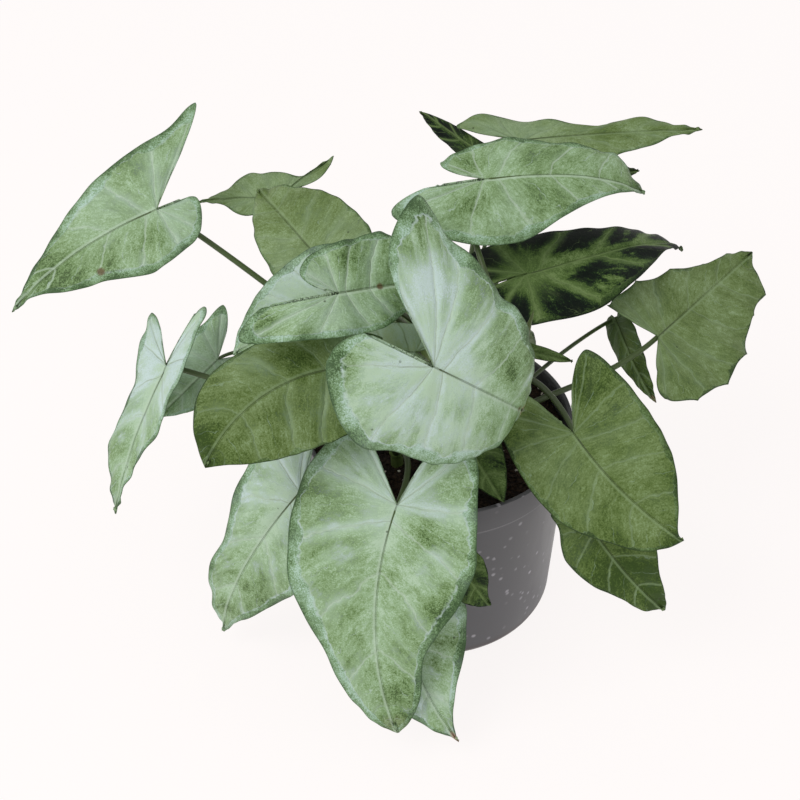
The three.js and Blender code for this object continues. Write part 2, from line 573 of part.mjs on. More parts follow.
function makeBlade(leaf, spine) {
  const rows = leaf.small ? SMALL_ROWS : ROWS;
  const shares = leaf.small ? [0.55, 1] : [0.4, 0.75, 1];
  const tops = [];
  const faces = [];
  const known = new Map();
  const vertex = (half, sign, row, share) => {
    const [x, y] = flatPoint(leaf, halfOutline(leaf, half), row, share);
    const p = bentPoint(leaf, spine, half, sign, x, y);
    const key = p.toArray().map((v) => Math.round(v * 1000)).join(' ');
    if (!known.has(key)) {
      known.set(key, tops.length);
      tops.push(p);
    }
    return known.get(key);
  };
  const addFace = (a, b, c) => {
    if (a !== b && b !== c && a !== c) {
      faces.push([a, b, c]);
    }
  };
  for (const [half, sign] of [[leaf.left, -1], [leaf.right, 1]]) {
    for (let i = 1; i < rows.length; i++) {
      const strip = [rows[i - 1], rows[i]];
      let inner = strip.map((row) => vertex(half, sign, row, 0));
      for (const share of shares) {
        const outer = strip.map((row) => vertex(half, sign, row, share));
        const corners = [inner[0], inner[1], outer[1], outer[0]];
        if (sign < 0) {
          corners.reverse();
        }
        addFace(corners[0], corners[1], corners[2]);
        addFace(corners[0], corners[2], corners[3]);
        inner = outer;
      }
    }
  }
  const normals = tops.map(() => new THREE.Vector3());
  faces.forEach(([a, b, c]) => {
    const normal = tops[b].clone().sub(tops[a]).cross(tops[c].clone().sub(tops[a]));
    [a, b, c].forEach((k) => normals[k].add(normal));
  });
  const unders = tops.map((p, i) => p.clone().addScaledVector(normals[i].normalize(), -BLADE));
  const triangles = [];
  const edges = new Set(faces.flatMap(([a, b, c]) => [`${a} ${b}`, `${b} ${c}`, `${c} ${a}`]));
  const n = tops.length;
  faces.forEach(([a, b, c]) => {
    triangles.push(a, b, c, a + n, c + n, b + n);
    for (const [p, q] of [[a, b], [b, c], [c, a]]) {
      if (!edges.has(`${q} ${p}`)) {
        triangles.push(p, p + n, q + n, p, q + n, q);
      }
    }
  });
  return geometryOf([...tops, ...unders].flatMap((p) => [p.x, p.y, p.z]), triangles);
}

// The stalk leaves its shoot, arches over to the blade and runs on below it as the midrib's ridge.
function makeStalk(leaf, spine, placing) {
  const shoot = SHOOTS[leaf.shoot];
  const start = shootPoint(shoot, leaf.joint);
  const neckFrame = spine(0);
  const under = BLADE + 0.6 * NECK_RADIUS;
  const neck = neckFrame.place.addScaledVector(neckFrame.up, -under).applyMatrix4(placing);
  const arrival = new THREE.Vector3(0, Math.cos(radians(leaf.arrive)), Math.sin(radians(leaf.arrive)));
  arrival.transformDirection(placing);
  const outward = neck.clone().sub(start).setZ(0).normalize();
  const leaving = Z.clone().multiplyScalar(Math.cos(radians(SPREAD)))
    .addScaledVector(outward, Math.sin(radians(SPREAD)));
  const route = new THREE.CubicBezierCurve3(
    start,
    start.clone().addScaledVector(leaving, leaf.rise),
    neck.clone().addScaledVector(arrival, -leaf.reach),
    neck,
  );
  const steps = leaf.small ? 5 : 7;
  const points = route.getPoints(steps);
  const radii = points.map((p, i) => {
    const u = i / steps;
    const sheath = (SHEATH_RADIUS - STALK_RADIUS) * Math.max(0, 1 - u / 0.3);
    return THREE.MathUtils.lerp(STALK_RADIUS, NECK_RADIUS, u) + sheath;
  });
  const slim = leaf.small ? 0.7 : 1;
  const ridge = spine(leaf.length * RIDGE_REACH);
  points.push(ridge.place.addScaledVector(ridge.up, -BLADE).applyMatrix4(placing));
  radii.push(0.5 * NECK_RADIUS);
  return tube(points, radii.map((r) => r * slim), STALK_SIDES);
}

function placingOf(leaf) {
  return new THREE.Matrix4().makeTranslation(...leaf.at)
    .multiply(turn(Z, leaf.heading - 90))
    .multiply(turn(X, leaf.pitch))
    .multiply(turn(Y, leaf.roll));
}

function makeLeaf(leaf, shootMoulds) {
  const spine = makeSpine(leaf);
  const placing = placingOf(leaf);
  const blade = solidOf(makeBlade(leaf, spine).applyMatrix4(placing));
  let solid = blade.add(solidOf(makeStalk(leaf, spine, placing)));
  shootMoulds.forEach((mould) => {
    solid = solid.subtract(mould);
  });
  return geometryFrom(mainBody(solid));
}

// ---------------------------------------------------------------- the plant

const plant = new THREE.Group();

function place(name, geometry, color, roughness, metalness = 0) {
  const material = new THREE.MeshStandardMaterial({ color, roughness, metalness });
  const mesh = new THREE.Mesh(geometry, material);
  mesh.name = name;
  plant.add(mesh);
}

const jointsOf = (name) => LEAVES.filter((leaf) => leaf.shoot === name)
  .map((leaf) => leaf.joint)
  .sort((a, b) => a - b);
const shootMoulds = Object.entries(SHOOTS)
  .map(([name, shoot]) => solidOf(makeShoot(shoot, jointsOf(name), GAP)));

place('pot', makePot(), 0x6a656c, 0.45);
place('soil', makeSoil(shootMoulds), 0x1d1815, 1);
for (const [name, shoot] of Object.entries(SHOOTS)) {
  place(`stem_${name}`, makeShoot(shoot, jointsOf(name), 0), 0x5d6f3f, 0.6);
}
for (const leaf of LEAVES) {
  place(leaf.name, makeLeaf(leaf, shootMoulds), leaf.colour, 0.55);
}

export default plant;
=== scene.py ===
"""An arrowhead plant, Syngonium podophyllum, in the plastic pot that it was raised in. Metres, +Z up."""

import math

import bpy
import numpy as np
from mathutils import Matrix, Vector


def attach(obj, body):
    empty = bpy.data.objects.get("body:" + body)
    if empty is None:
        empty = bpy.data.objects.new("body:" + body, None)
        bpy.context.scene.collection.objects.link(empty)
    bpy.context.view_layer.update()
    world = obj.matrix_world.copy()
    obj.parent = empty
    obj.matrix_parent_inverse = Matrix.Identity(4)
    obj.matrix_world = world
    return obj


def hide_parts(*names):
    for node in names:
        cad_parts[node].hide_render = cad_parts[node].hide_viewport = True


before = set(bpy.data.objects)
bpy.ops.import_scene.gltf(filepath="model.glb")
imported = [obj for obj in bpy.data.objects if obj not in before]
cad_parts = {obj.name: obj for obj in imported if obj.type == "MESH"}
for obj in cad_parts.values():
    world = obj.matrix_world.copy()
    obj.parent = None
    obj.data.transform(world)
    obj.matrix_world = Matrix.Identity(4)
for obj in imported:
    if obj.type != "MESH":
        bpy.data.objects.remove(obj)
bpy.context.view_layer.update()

# ---------------------------------------------------------------- the view
# A camera on a stand in front of the plant and above it. It looks down past the front leaves
# at the pot's rim.

SENSOR_WIDTH, LENS = 36.0, 65.1
CAMERA_PLACE, CAMERA_DOWN = (-0.0187, -0.5229, 0.5836), 41.6


def shown(name, data):
    """An object of that name for a mesh, a lamp or a camera, put in the scene."""
    piece = bpy.data.objects.new(name, data)
    bpy.context.scene.collection.objects.link(piece)
    return piece


camera = shown("camera", bpy.data.cameras.new("camera"))
bpy.context.scene.camera = camera
camera.data.sensor_width = SENSOR_WIDTH
camera.data.lens = LENS
camera.location = CAMERA_PLACE
camera.rotation_euler = (math.radians(90 - CAMERA_DOWN), 0, 0)

# ---------------------------------------------------------------- the pot
# A thin pot of grey polypropylene, moulded in one piece: a slightly tapered wall, a stiffer band
# round the rim, a foot ring, and a floor with drain holes. Tap water has dried on it in spots.

MM = 0.001
POT_HEIGHT, RIM_RADIUS, BASE_RADIUS, WALL = 108, 66, 60.5, 1.8
BAND_HEIGHT, BAND_PROUD, BAND_STEP, RIM_LIP = 16, 1.1, 0.8, 2
FOOT_RISE, FOOT_INNER, FOOT_SLOPE, PAD_RADIUS = 2.5, 50, 1, 18
FOOT_INSET, FOOT_BEVEL, ROUNDING, POT_SIDES = 0.8, 2.2, 0.5, 144
DRAIN_HOLES, DRAIN_RADIUS, DRAIN_CIRCLE = 5, 4, 34
DRILL_LOW, DRILL_HIGH, DRILL_SIDES = -4, 9, 32
SPOTS_A_METRE = 260.0


def wall_radius(height):
    return BASE_RADIUS + (RIM_RADIUS - BAND_PROUD - BASE_RADIUS) * height / POT_HEIGHT


def new_piece(name, points, faces):
    """A smooth mesh object from points in millimetres."""
    mesh = bpy.data.meshes.new(name)
    mesh.from_pydata((np.asarray(points, float) * MM).tolist(), [], [list(f) for f in faces])
    mesh.polygons.foreach_set("use_smooth", [True] * len(mesh.polygons))
    return shown(name, mesh)


def rounded(profile, radius, steps=4):
    """The (r, z) profile with each inner corner turned into a small arc."""
    points = [profile[0]]
    for before, corner, after in zip(profile, profile[1:], profile[2:]):
        corner = np.array(corner, float)
        a, b = np.array(before) - corner, np.array(after) - corner
        cut = min(radius, 0.45 * np.hypot(*a), 0.45 * np.hypot(*b))
        start, end = corner + a * cut / np.hypot(*a), corner + b * cut / np.hypot(*b)
        for t in np.linspace(0, 1, steps + 1):
            points.append(tuple((1 - t) ** 2 * start + 2 * t * (1 - t) * corner + t * t * end))
    return points + [profile[-1]]


def barrel_faces(rows, sides):
    """Faces of a closed barrel: points 0 and 1 are its ends' middles, and then come its rows."""
    faces = []
    last = 2 + (rows - 1) * sides
    for k in range(sides):
        after = (k + 1) % sides
        faces.append((0, 2 + after, 2 + k))
        faces.append((1, last + k, last + after))
        for low in range(2, last, sides):
            high = low + sides
            faces.append((low + k, low + after, high + after, high + k))
    return faces


def turned(name, profile, sides):
    """A closed solid of revolution: the profile starts and ends on the axis."""
    ring = np.linspace(0, 2 * math.pi, sides, endpoint=False)
    inner = profile[1:-1]
    points = [(0, 0, profile[0][1]), (0, 0, profile[-1][1])]
    points += [(r * math.cos(a), r * math.sin(a), z) for r, z in inner for a in ring]
    return new_piece(name, points, barrel_faces(len(inner), sides))


def carried_out(piece, modifier):
    """The plain mesh that the modifier makes of the piece; the modifier is taken off."""
    graph = bpy.context.evaluated_depsgraph_get()
    mesh = bpy.data.meshes.new_from_object(piece.evaluated_get(graph))
    piece.modifiers.remove(modifier)
    return mesh


band_foot = POT_HEIGHT - BAND_HEIGHT
floor_top = FOOT_RISE + WALL
pot = turned("plant_pot", rounded([
    (0, 0),
    (PAD_RADIUS, 0),
    (PAD_RADIUS + FOOT_SLOPE, FOOT_RISE),
    (FOOT_INNER, FOOT_RISE),
    (FOOT_INNER + FOOT_SLOPE, 0),
    (BASE_RADIUS - FOOT_INSET, 0),
    (wall_radius(FOOT_BEVEL), FOOT_BEVEL),
    (wall_radius(band_foot), band_foot),
    (wall_radius(band_foot) + BAND_PROUD, band_foot + BAND_STEP),
    (RIM_RADIUS, POT_HEIGHT),
    (RIM_RADIUS - RIM_LIP, POT_HEIGHT),
    (wall_radius(POT_HEIGHT - RIM_LIP) - WALL, POT_HEIGHT - RIM_LIP),
    (wall_radius(floor_top) - WALL, floor_top),
    (0, floor_top),
], ROUNDING), POT_SIDES)
for i in range(DRAIN_HOLES):
    angle = 2 * math.pi * (i + 0.5) / DRAIN_HOLES
    drill = turned("drill", [(0, DRILL_LOW), (DRAIN_RADIUS, DRILL_LOW),
                             (DRAIN_RADIUS, DRILL_HIGH), (0, DRILL_HIGH)], DRILL_SIDES)
    drill.data.transform(Matrix.Translation(
        (DRAIN_CIRCLE * MM * math.cos(angle), DRAIN_CIRCLE * MM * math.sin(angle), 0)))
    cut = pot.modifiers.new("drain hole", "BOOLEAN")
    cut.operation, cut.solver, cut.object = "DIFFERENCE", "EXACT", drill
    pot.data = carried_out(pot, cut)
    bpy.data.objects.remove(drill)


class Signal:
    """An output socket of a node tree. Arithmetic on it adds Math nodes."""

    def __init__(self, tree, socket):
        self.tree, self.socket = tree, socket

    def make(self, kind, settings=None, inputs=None, output=0):
        """Adds any node: its settings first, then what its sockets hold or are linked to."""
        node = self.tree.nodes.new(kind)
        for key, value in (settings or {}).items():
            setattr(node, key, value)
        for key, value in (inputs or {}).items():
            if isinstance(value, Signal):
                self.tree.links.new(value.socket, node.inputs[key])
            else:
                node.inputs[key].default_value = value
        return Signal(self.tree, node.outputs[output])

    def math(self, operation, *values):
        return self.make("ShaderNodeMath", {"operation": operation}, dict(enumerate((self,) + values)))

    def __add__(self, other):
        return self.math("ADD", other)

    def __sub__(self, other):
        return self.math("SUBTRACT", other)

    def __mul__(self, other):
        return self.math("MULTIPLY", other)

    def __truediv__(self, other):
        return self.math("DIVIDE", other)

    def __rsub__(self, other):
        return self.make("ShaderNodeMath", {"operation": "SUBTRACT"}, {0: other, 1: self})

    __radd__, __rmul__ = __add__, __mul__

    def __abs__(self):
        return self.math("ABSOLUTE")

    def between(self, low, high):
        """0 at low to 1 at high, eased; low may be the larger."""
        return self.make("ShaderNodeMapRange", {"interpolation_type": "SMOOTHSTEP"},
                         {"Value": self, "From Min": low, "From Max": high})

    def split(self, output):
        return self.make("ShaderNodeSeparateXYZ", None, {0: self}, output)

    def blend(self, under, over):
        """A colour: under where this mask is 0 and over where it is 1."""
        return self.make("ShaderNodeMix", {"data_type": "RGBA"}, {0: self, 6: under, 7: over}, 2)

    def ramp(self, colours):
        """A colour: the first of them at 0, the last at 1 and the others evenly between."""
        mixed = self.make("ShaderNodeValToRGB", None, {0: self})
        stops = mixed.socket.node.color_ramp.elements
        while len(stops) < len(colours):
            stops.new(1)
        for k, colour in enumerate(colours):
            stops[k].position, stops[k].color = k / (len(colours) - 1), colour
        return mixed

    def noise(self, scale, detail=2.0, roughness=0.5):
        """Soft clouds from 0 to 1: how many to the metre, their finer octaves and the weight of those."""
        return self.make("ShaderNodeTexNoise", None, {
            "Vector": self, "Scale": scale, "Detail": detail, "Roughness": roughness})

    def attribute(self, name, output=2):
        """What the mesh carries under that name: output 0 is a colour, 2 a number and 3 its alpha."""
        return self.make("ShaderNodeAttribute", {"attribute_name": name}, output=output)

    def bumped(self, strength=1.0):
        """The normal of a surface with this relief, in millimetres."""
        return self.make("ShaderNodeBump", None, {"Height": self, "Distance": MM, "Strength": strength})


def new_finish(name):
    """A material with one Principled shader, and the place on the piece that its patterns start from."""
    finish = bpy.data.materials.new(name)
    finish.use_nodes = True
    return finish, Signal(finish.node_tree, None).make("ShaderNodeTexCoord", output=3)


def join(finish, **sockets):
    """Gives the shader's sockets what they hold, or what they are linked to."""
    shader = finish.node_tree.nodes["Principled BSDF"]
    for key, value in sockets.items():
        socket = shader.inputs[key.replace("_", " ")]
        if isinstance(value, Signal):
            finish.node_tree.links.new(value.socket, socket)
        else:
            socket.default_value = value


def paint(red, green, blue):
    """A linear colour from the 0 to 255 values that a paint chip gives."""
    return tuple(((v / 255 + 0.055) / 1.055) ** 2.4 for v in (red, green, blue)) + (1,)


plastic, place = new_finish("grey_polypropylene")
height = place.split(2) / MM
cloud = place.noise(22, 4)
streak = place.make("ShaderNodeMapping", None, {"Vector": place, "Scale": (1, 1, 0.25)}).noise(120, 3)
cells = {"Vector": place, "Scale": SPOTS_A_METRE, "Randomness": 1.0}
from_middle = place.make("ShaderNodeTexVoronoi", None, cells)
chance = place.make("ShaderNodeTexVoronoi", None, cells, 1).split(0)
chance = chance + height.between(75, 15) * 0.12
spot = from_middle.between(0.42, 0.12) * chance.between(0.72, 0.9) * place.noise(38, 2).between(0.42, 0.6)
dust = cloud.between(0.35, 0.75) * 0.5 + streak.between(0.45, 0.8) * 0.4
# Darker and browner towards the bottom of the pot.
darker_at_foot = height.between(7, 0.5)
# A painted highlight: a lighter line along the lower edge of the rim band.
band_edge_highlight = abs(height - band_foot).between(1.5, 0.5)
base = dust.blend(paint(65, 65, 68), paint(82, 81, 85))
base = (spot * 0.75).blend(base, paint(176, 173, 180))
base = (band_edge_highlight * 0.6).blend(base, paint(112, 111, 116))
base = (darker_at_foot * 0.7).blend(base, paint(62, 50, 46))
relief = place.noise(1500, 2) * 0.02 + spot * 0.05
join(plastic, Base_Color=base, Roughness=0.36 + 0.2 * dust + 0.2 * spot, Normal=relief.bumped(),
     Specular_IOR_Level=0.5)
pot.data.materials.clear()
pot.data.materials.append(plastic)
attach(pot, "root")
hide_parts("pot")

# ---------------------------------------------------------------- the potting mix
# Black peat and bark crumbs with a few white grains of perlite, a little below the rim. It is one
# filling, as a gardener firms it round the roots.

SOIL_TOP, SOIL_BUMP, GAP = 98, 1.4, 0.35
SHOULDER_IN, SHOULDER_DOWN, TOP_IN, MIDDLE_RING = 0.3, 2.5, 2, 1.5
SOIL_ROUGHNESS, SOIL_SIDES, SOIL_RINGS = 0.22, 96, 27
CRUMBS_A_METRE2, BARK_A_METRE2, GRAINS_A_METRE2 = 260000, 14000, 9000


def soil_height(x, y):
    swell = 0.6 * np.sin(x / 9 + 1) * np.cos(y / 7) + 0.4 * np.sin(y / 5 - x / 11)
    return SOIL_TOP + SOIL_BUMP * swell


def new_tree(name, sizes):
    """An empty Geometry Nodes tree with a mesh or curve in, the named sizes, and geometry out."""
    tree = bpy.data.node_groups.new(name, "GeometryNodeTree")
    tree.interface.new_socket("Geometry", in_out="INPUT", socket_type="NodeSocketGeometry")
    tree.interface.new_socket("Geometry", in_out="OUTPUT", socket_type="NodeSocketGeometry")
    for label, value in sizes.items():
        kind = {int: "NodeSocketInt", float: "NodeSocketFloat"}.get(type(value), "NodeSocketMaterial")
        socket = tree.interface.new_socket(label, in_out="INPUT", socket_type=kind)
        socket.default_value = value
    into = tree.nodes.new("NodeGroupInput")
    return tree, {s.name: Signal(tree, s) for s in into.outputs if s.name}


def close_tree(tree, result, finish):
    """Ends the tree: instances made real, and the finish set on everything."""
    real = result.make("GeometryNodeRealizeInstances", None, {"Geometry": result})
    done = real.make("GeometryNodeSetMaterial", None, {"Geometry": real, "Material": finish})
    out = tree.nodes.new("NodeGroupOutput")
    tree.links.new(done.socket, out.inputs[0])


def grown(piece, tree, sizes):
    """The plain mesh that the tree makes of the piece, with the sizes given by their labels."""
    modifier = piece.modifiers.new(tree.name, "NODES")
    modifier.node_group = tree
    sockets = {s.name: s.identifier for s in tree.interface.items_tree if s.in_out == "INPUT"}
    for label, value in sizes.items():
        modifier[sockets[label]] = value
    return carried_out(piece, modifier)


mix, place = new_finish("potting_mix")
shred = place.noise(700, 4)
damp = place.noise(60, 2)
colour = shred.between(0.35, 0.7).blend(paint(20, 14, 11), paint(58, 43, 32))
colour = damp.between(0.4, 0.7).blend(colour, paint(12, 9, 8))
join(mix, Base_Color=colour, Roughness=0.8 + 0.15 * shred, Normal=(shred * 0.5).bumped(),
     Specular_IOR_Level=0.2)

perlite, place = new_finish("perlite")
pores = place.noise(900, 3)
colour = pores.between(0.3, 0.7).blend(paint(168, 160, 148), paint(226, 222, 214))
join(perlite, Base_Color=colour, Roughness=0.85, Normal=(pores * 0.3).bumped())

soil_edge = wall_radius(SOIL_TOP) - WALL - GAP
soil_foot = wall_radius(floor_top) - WALL - GAP
ring = np.linspace(0, 2 * math.pi, SOIL_SIDES, endpoint=False)
radii = [soil_edge - SHOULDER_IN, *np.linspace(soil_edge - TOP_IN, MIDDLE_RING, SOIL_RINGS)]
points = [(0, 0, floor_top + GAP), (0, 0, float(soil_height(0, 0)))]
points += [(soil_foot * math.cos(a), soil_foot * math.sin(a), floor_top + GAP) for a in ring]
points += [(soil_edge * math.cos(a), soil_edge * math.sin(a), SOIL_TOP - SHOULDER_DOWN) for a in ring]
rng = np.random.default_rng(5)
for r in radii:
    x, y = r * np.cos(ring), r * np.sin(ring)
    z = soil_height(x, y) + rng.normal(0, SOIL_ROUGHNESS, SOIL_SIDES)
    points += list(zip(x, y, z))
soil = new_piece("potting_mix", points, barrel_faces(len(radii) + 2, SOIL_SIDES))

scatter, inputs = new_tree("crumbs on the soil", {
    "Number": float(CRUMBS_A_METRE2), "Least size": MM, "Most size": 2 * MM, "Seed": 1, "Finish": mix})
ground = inputs["Geometry"]
up = ground.make("GeometryNodeInputNormal").split(2).math("GREATER_THAN", 0.5)
spread = ground.make("GeometryNodeDistributePointsOnFaces", None, {
    "Mesh": ground, "Selection": up, "Density": inputs["Number"], "Seed": inputs["Seed"]})
crumb = ground.make("GeometryNodeMeshIcoSphere", None, {"Radius": 1.0, "Subdivisions": 1})
size = ground.make("FunctionNodeRandomValue", {"data_type": "FLOAT"}, {
    2: inputs["Least size"], 3: inputs["Most size"], "Seed": inputs["Seed"]}, 1)
squeeze = ground.make("FunctionNodeRandomValue", {"data_type": "FLOAT_VECTOR"}, {
    0: (0.5, 0.5, 0.3), 1: (1.2, 1.2, 0.8), "Seed": inputs["Seed"]}, 0)
tilt = ground.make("FunctionNodeRandomValue", {"data_type": "FLOAT_VECTOR"}, {
    0: (0, 0, 0), 1: (0.7, 0.7, 6.28), "Seed": inputs["Seed"]}, 0)
squeeze = ground.make("ShaderNodeVectorMath", {"operation": "SCALE"}, {0: squeeze, "Scale": size})
lying = ground.make("GeometryNodeInstanceOnPoints", None, {
    "Points": spread, "Instance": crumb, "Rotation": tilt, "Scale": squeeze})
close_tree(scatter, lying, inputs["Finish"])

layers = [soil]
for name, number, least, most, seed, finish in (
        ("crumbs", CRUMBS_A_METRE2, 0.5, 1.5, 3, mix),
        ("bark", BARK_A_METRE2, 1.4, 2.6, 8, mix),
        ("grains", GRAINS_A_METRE2, 0.7, 1.4, 11, perlite)):
    sizes = {"Number": float(number), "Least size": least * MM, "Most size": most * MM}
    layers.append(shown(name, grown(soil, scatter, {**sizes, "Seed": seed, "Finish": finish})))
soil.data.materials.append(mix)


def fused(pieces):
    """Joins the meshes of the others to the first piece."""
    with bpy.context.temp_override(active_object=pieces[0], selected_editable_objects=pieces):
        bpy.ops.object.join()


fused(layers)
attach(soil, "root")
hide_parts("soil")

# ---------------------------------------------------------------- the shoots
# Five young stems, juicy and green, rooted in the mix. A ring shows where each leaf grows out, and
# every stem ends in its next leaf, still rolled up in a spike.

SHOOT_DEPTH, SHOOT_RADIUS, SHOOT_TAPER, LEAN_EASE = 34, 3.1, 1.2, 1.5
SHOOT_SIDES, SHOOT_STEPS = 24, 40
JOINT_SWELL, JOINT_REACH = 0.6, 1.6
SPIKE_LENGTH, SPIKE_SIDES, SPIKE_STEPS = 20, 28, 18
SPIKE_FOOT, SPIKE_BELLY, SPIKE_TIP, SPIKE_OVERLAP, SPIKE_WIND = 1.5, 0.7, 0.12, 0.16, 0.35
# foot: where the stem leaves the mix. lean: how far it leans to its top. top and joints: heights.
SHOOTS = {
    "left": dict(foot=(-20, -23), lean=(-6, -6), top=151, joints=(107, 111, 117, 131)),
    "front": dict(foot=(-2, -41), lean=(0, -6), top=137, joints=(110, 120, 125)),
    "middle": dict(foot=(-4, 1), lean=(-6, 4), top=171, joints=(106, 109, 119, 123, 127, 143, 153, 161)),
    "right": dict(foot=(30, -5), lean=(8, 4), top=153, joints=(107, 112, 117, 123, 129, 135, 141)),
    "rear": dict(foot=(10, 25), lean=(0, 8), top=143, joints=(107, 115, 123, 131, 137)),
}


def share_of_rise(shoot, height):
    """0 where the shoot leaves the mix to 1 at its top."""
    return max(0, (height - SOIL_TOP) / (shoot["top"] - SOIL_TOP))


def shoot_point(shoot, height):
    lean = share_of_rise(shoot, height) ** LEAN_EASE
    (x, y), (dx, dy) = shoot["foot"], shoot["lean"]
    return np.array([x + dx * lean, y + dy * lean, height])


def stem_finish(name, low, high, blush):
    """Green stem skin: low at its foot, high above, and blush in the fine streaks along it."""
    finish, place = new_finish(name)
    around = place.attribute("around") * (2 * math.pi)
    along = place.attribute("along")
    skin = place.make("ShaderNodeCombineXYZ", None, {
        0: around.math("COSINE"), 1: around.math("SINE"), 2: along * 25})
    streak = skin.noise(3.0, 4)
    mottle = place.noise(180, 3)
    colour = along.between(0.0, 0.08).blend(low, high)
    colour = (streak.between(0.45, 0.75) * 0.6).blend(colour, blush)
    colour = (mottle.between(0.5, 0.75) * 0.3).blend(colour, low)
    relief = streak * 0.2 + place.noise(1400, 1) * 0.04
    join(finish, Base_Color=colour, Roughness=0.38 + 0.15 * mottle, Normal=relief.bumped(0.8))
    return finish


stem_skin = stem_finish("stem_skin", paint(74, 88, 44), paint(112, 132, 74), paint(84, 96, 52))

rod, inputs = new_tree("round stem", {"Sides": 16, "Finish": stem_skin})
line = inputs["Geometry"].make("GeometryNodeMeshToCurve", None, {"Mesh": inputs["Geometry"]})
girth = line.make("GeometryNodeInputNamedAttribute", {"data_type": "FLOAT"}, {"Name": "girth"})
length = line.make("GeometryNodeSplineParameter", output=1)
line = line.make("GeometryNodeStoreNamedAttribute", {"data_type": "FLOAT", "domain": "POINT"}, {
    "Geometry": line, "Name": "along", "Value": length})
ring = line.make("GeometryNodeCurvePrimitiveCircle", {"mode": "RADIUS"}, {
    "Resolution": inputs["Sides"], "Radius": 1.0})
turn = line.make("GeometryNodeSplineParameter")
ring = line.make("GeometryNodeStoreNamedAttribute", {"data_type": "FLOAT", "domain": "POINT"}, {
    "Geometry": ring, "Name": "around", "Value": turn})
skin = line.make("GeometryNodeCurveToMesh", None, {
    "Curve": line, "Profile Curve": ring, "Scale": girth, "Fill Caps": True})
close_tree(rod, skin, inputs["Finish"])


def stem(name, points, girths, sides, finish):
    """A closed round stem along the points, with a radius of its own at each, all in millimetres."""
    mesh = bpy.data.meshes.new(name)
    edges = [(i, i + 1) for i in range(len(points) - 1)]
    mesh.from_pydata((np.array(points) * MM).tolist(), edges, [])
    mesh.attributes.new("girth", "FLOAT", "POINT").data.foreach_set("value", np.array(girths) * MM)
    piece = shown(name, mesh)
    piece.data = grown(piece, rod, {"Sides": sides, "Finish": finish})
    piece.data.polygons.foreach_set("use_smooth", [True] * len(piece.data.polygons))
    return piece


def rolled_spike(name, shoot, finish):
    """The next leaf, wound round itself: a tapering roll with the edge of the blade as a step."""
    turns = np.linspace(0, 1, SPIKE_SIDES, endpoint=False)
    points, faces = [], []
    for i in range(SPIKE_STEPS + 1):
        u = i / SPIKE_STEPS
        centre = shoot_point(shoot, shoot["top"] - 1 + u * (SPIKE_LENGTH + 1))
        belly = SPIKE_BELLY * math.sin(math.pi * min(1, u * 1.3)) * (1 - u)
        swell = (SPIKE_FOOT + belly) * (1 - u ** 3) + SPIKE_TIP
        for t in turns:
            angle = 2 * math.pi * (t + SPIKE_WIND * u)
            r = swell * (1 - SPIKE_OVERLAP + SPIKE_OVERLAP * t)
            points.append(centre + (r * math.cos(angle), r * math.sin(angle), 0))
    last = SPIKE_STEPS * SPIKE_SIDES
    for low in range(0, last, SPIKE_SIDES):
        for k in range(SPIKE_SIDES):
            a, b = low + k, low + (k + 1) % SPIKE_SIDES
            faces.append((a, b, b + SPIKE_SIDES, a + SPIKE_SIDES))
    faces.append(tuple(reversed(range(SPIKE_SIDES))))
    faces.append(tuple(last + k for k in range(SPIKE_SIDES)))
    spike = new_piece(name, points, faces)
    spike.data.materials.append(finish)
    return spike


for name, shoot in SHOOTS.items():
    heights = set(np.linspace(SOIL_TOP - SHOOT_DEPTH, shoot["top"], SHOOT_STEPS))
    heights |= {j + d for j in shoot["joints"] for d in (-JOINT_REACH, -1, -0.5, 0, 0.5, 1, JOINT_REACH)}
    heights = sorted(h for h in heights if h <= shoot["top"])
    girths = []
    for h in heights:
        swell = max([0] + [1 - abs(h - j) / JOINT_REACH for j in shoot["joints"]])
        girths.append(SHOOT_RADIUS - SHOOT_TAPER * share_of_rise(shoot, h) + JOINT_SWELL * swell)
    points = [shoot_point(shoot, h) for h in heights]
    shoot_stem = stem("shoot_" + name, points, girths, SHOOT_SIDES, stem_skin)
    fused([shoot_stem, rolled_spike("spike_" + name, shoot, stem_skin)])
    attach(shoot_stem, "root")
    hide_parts("stem_" + name)
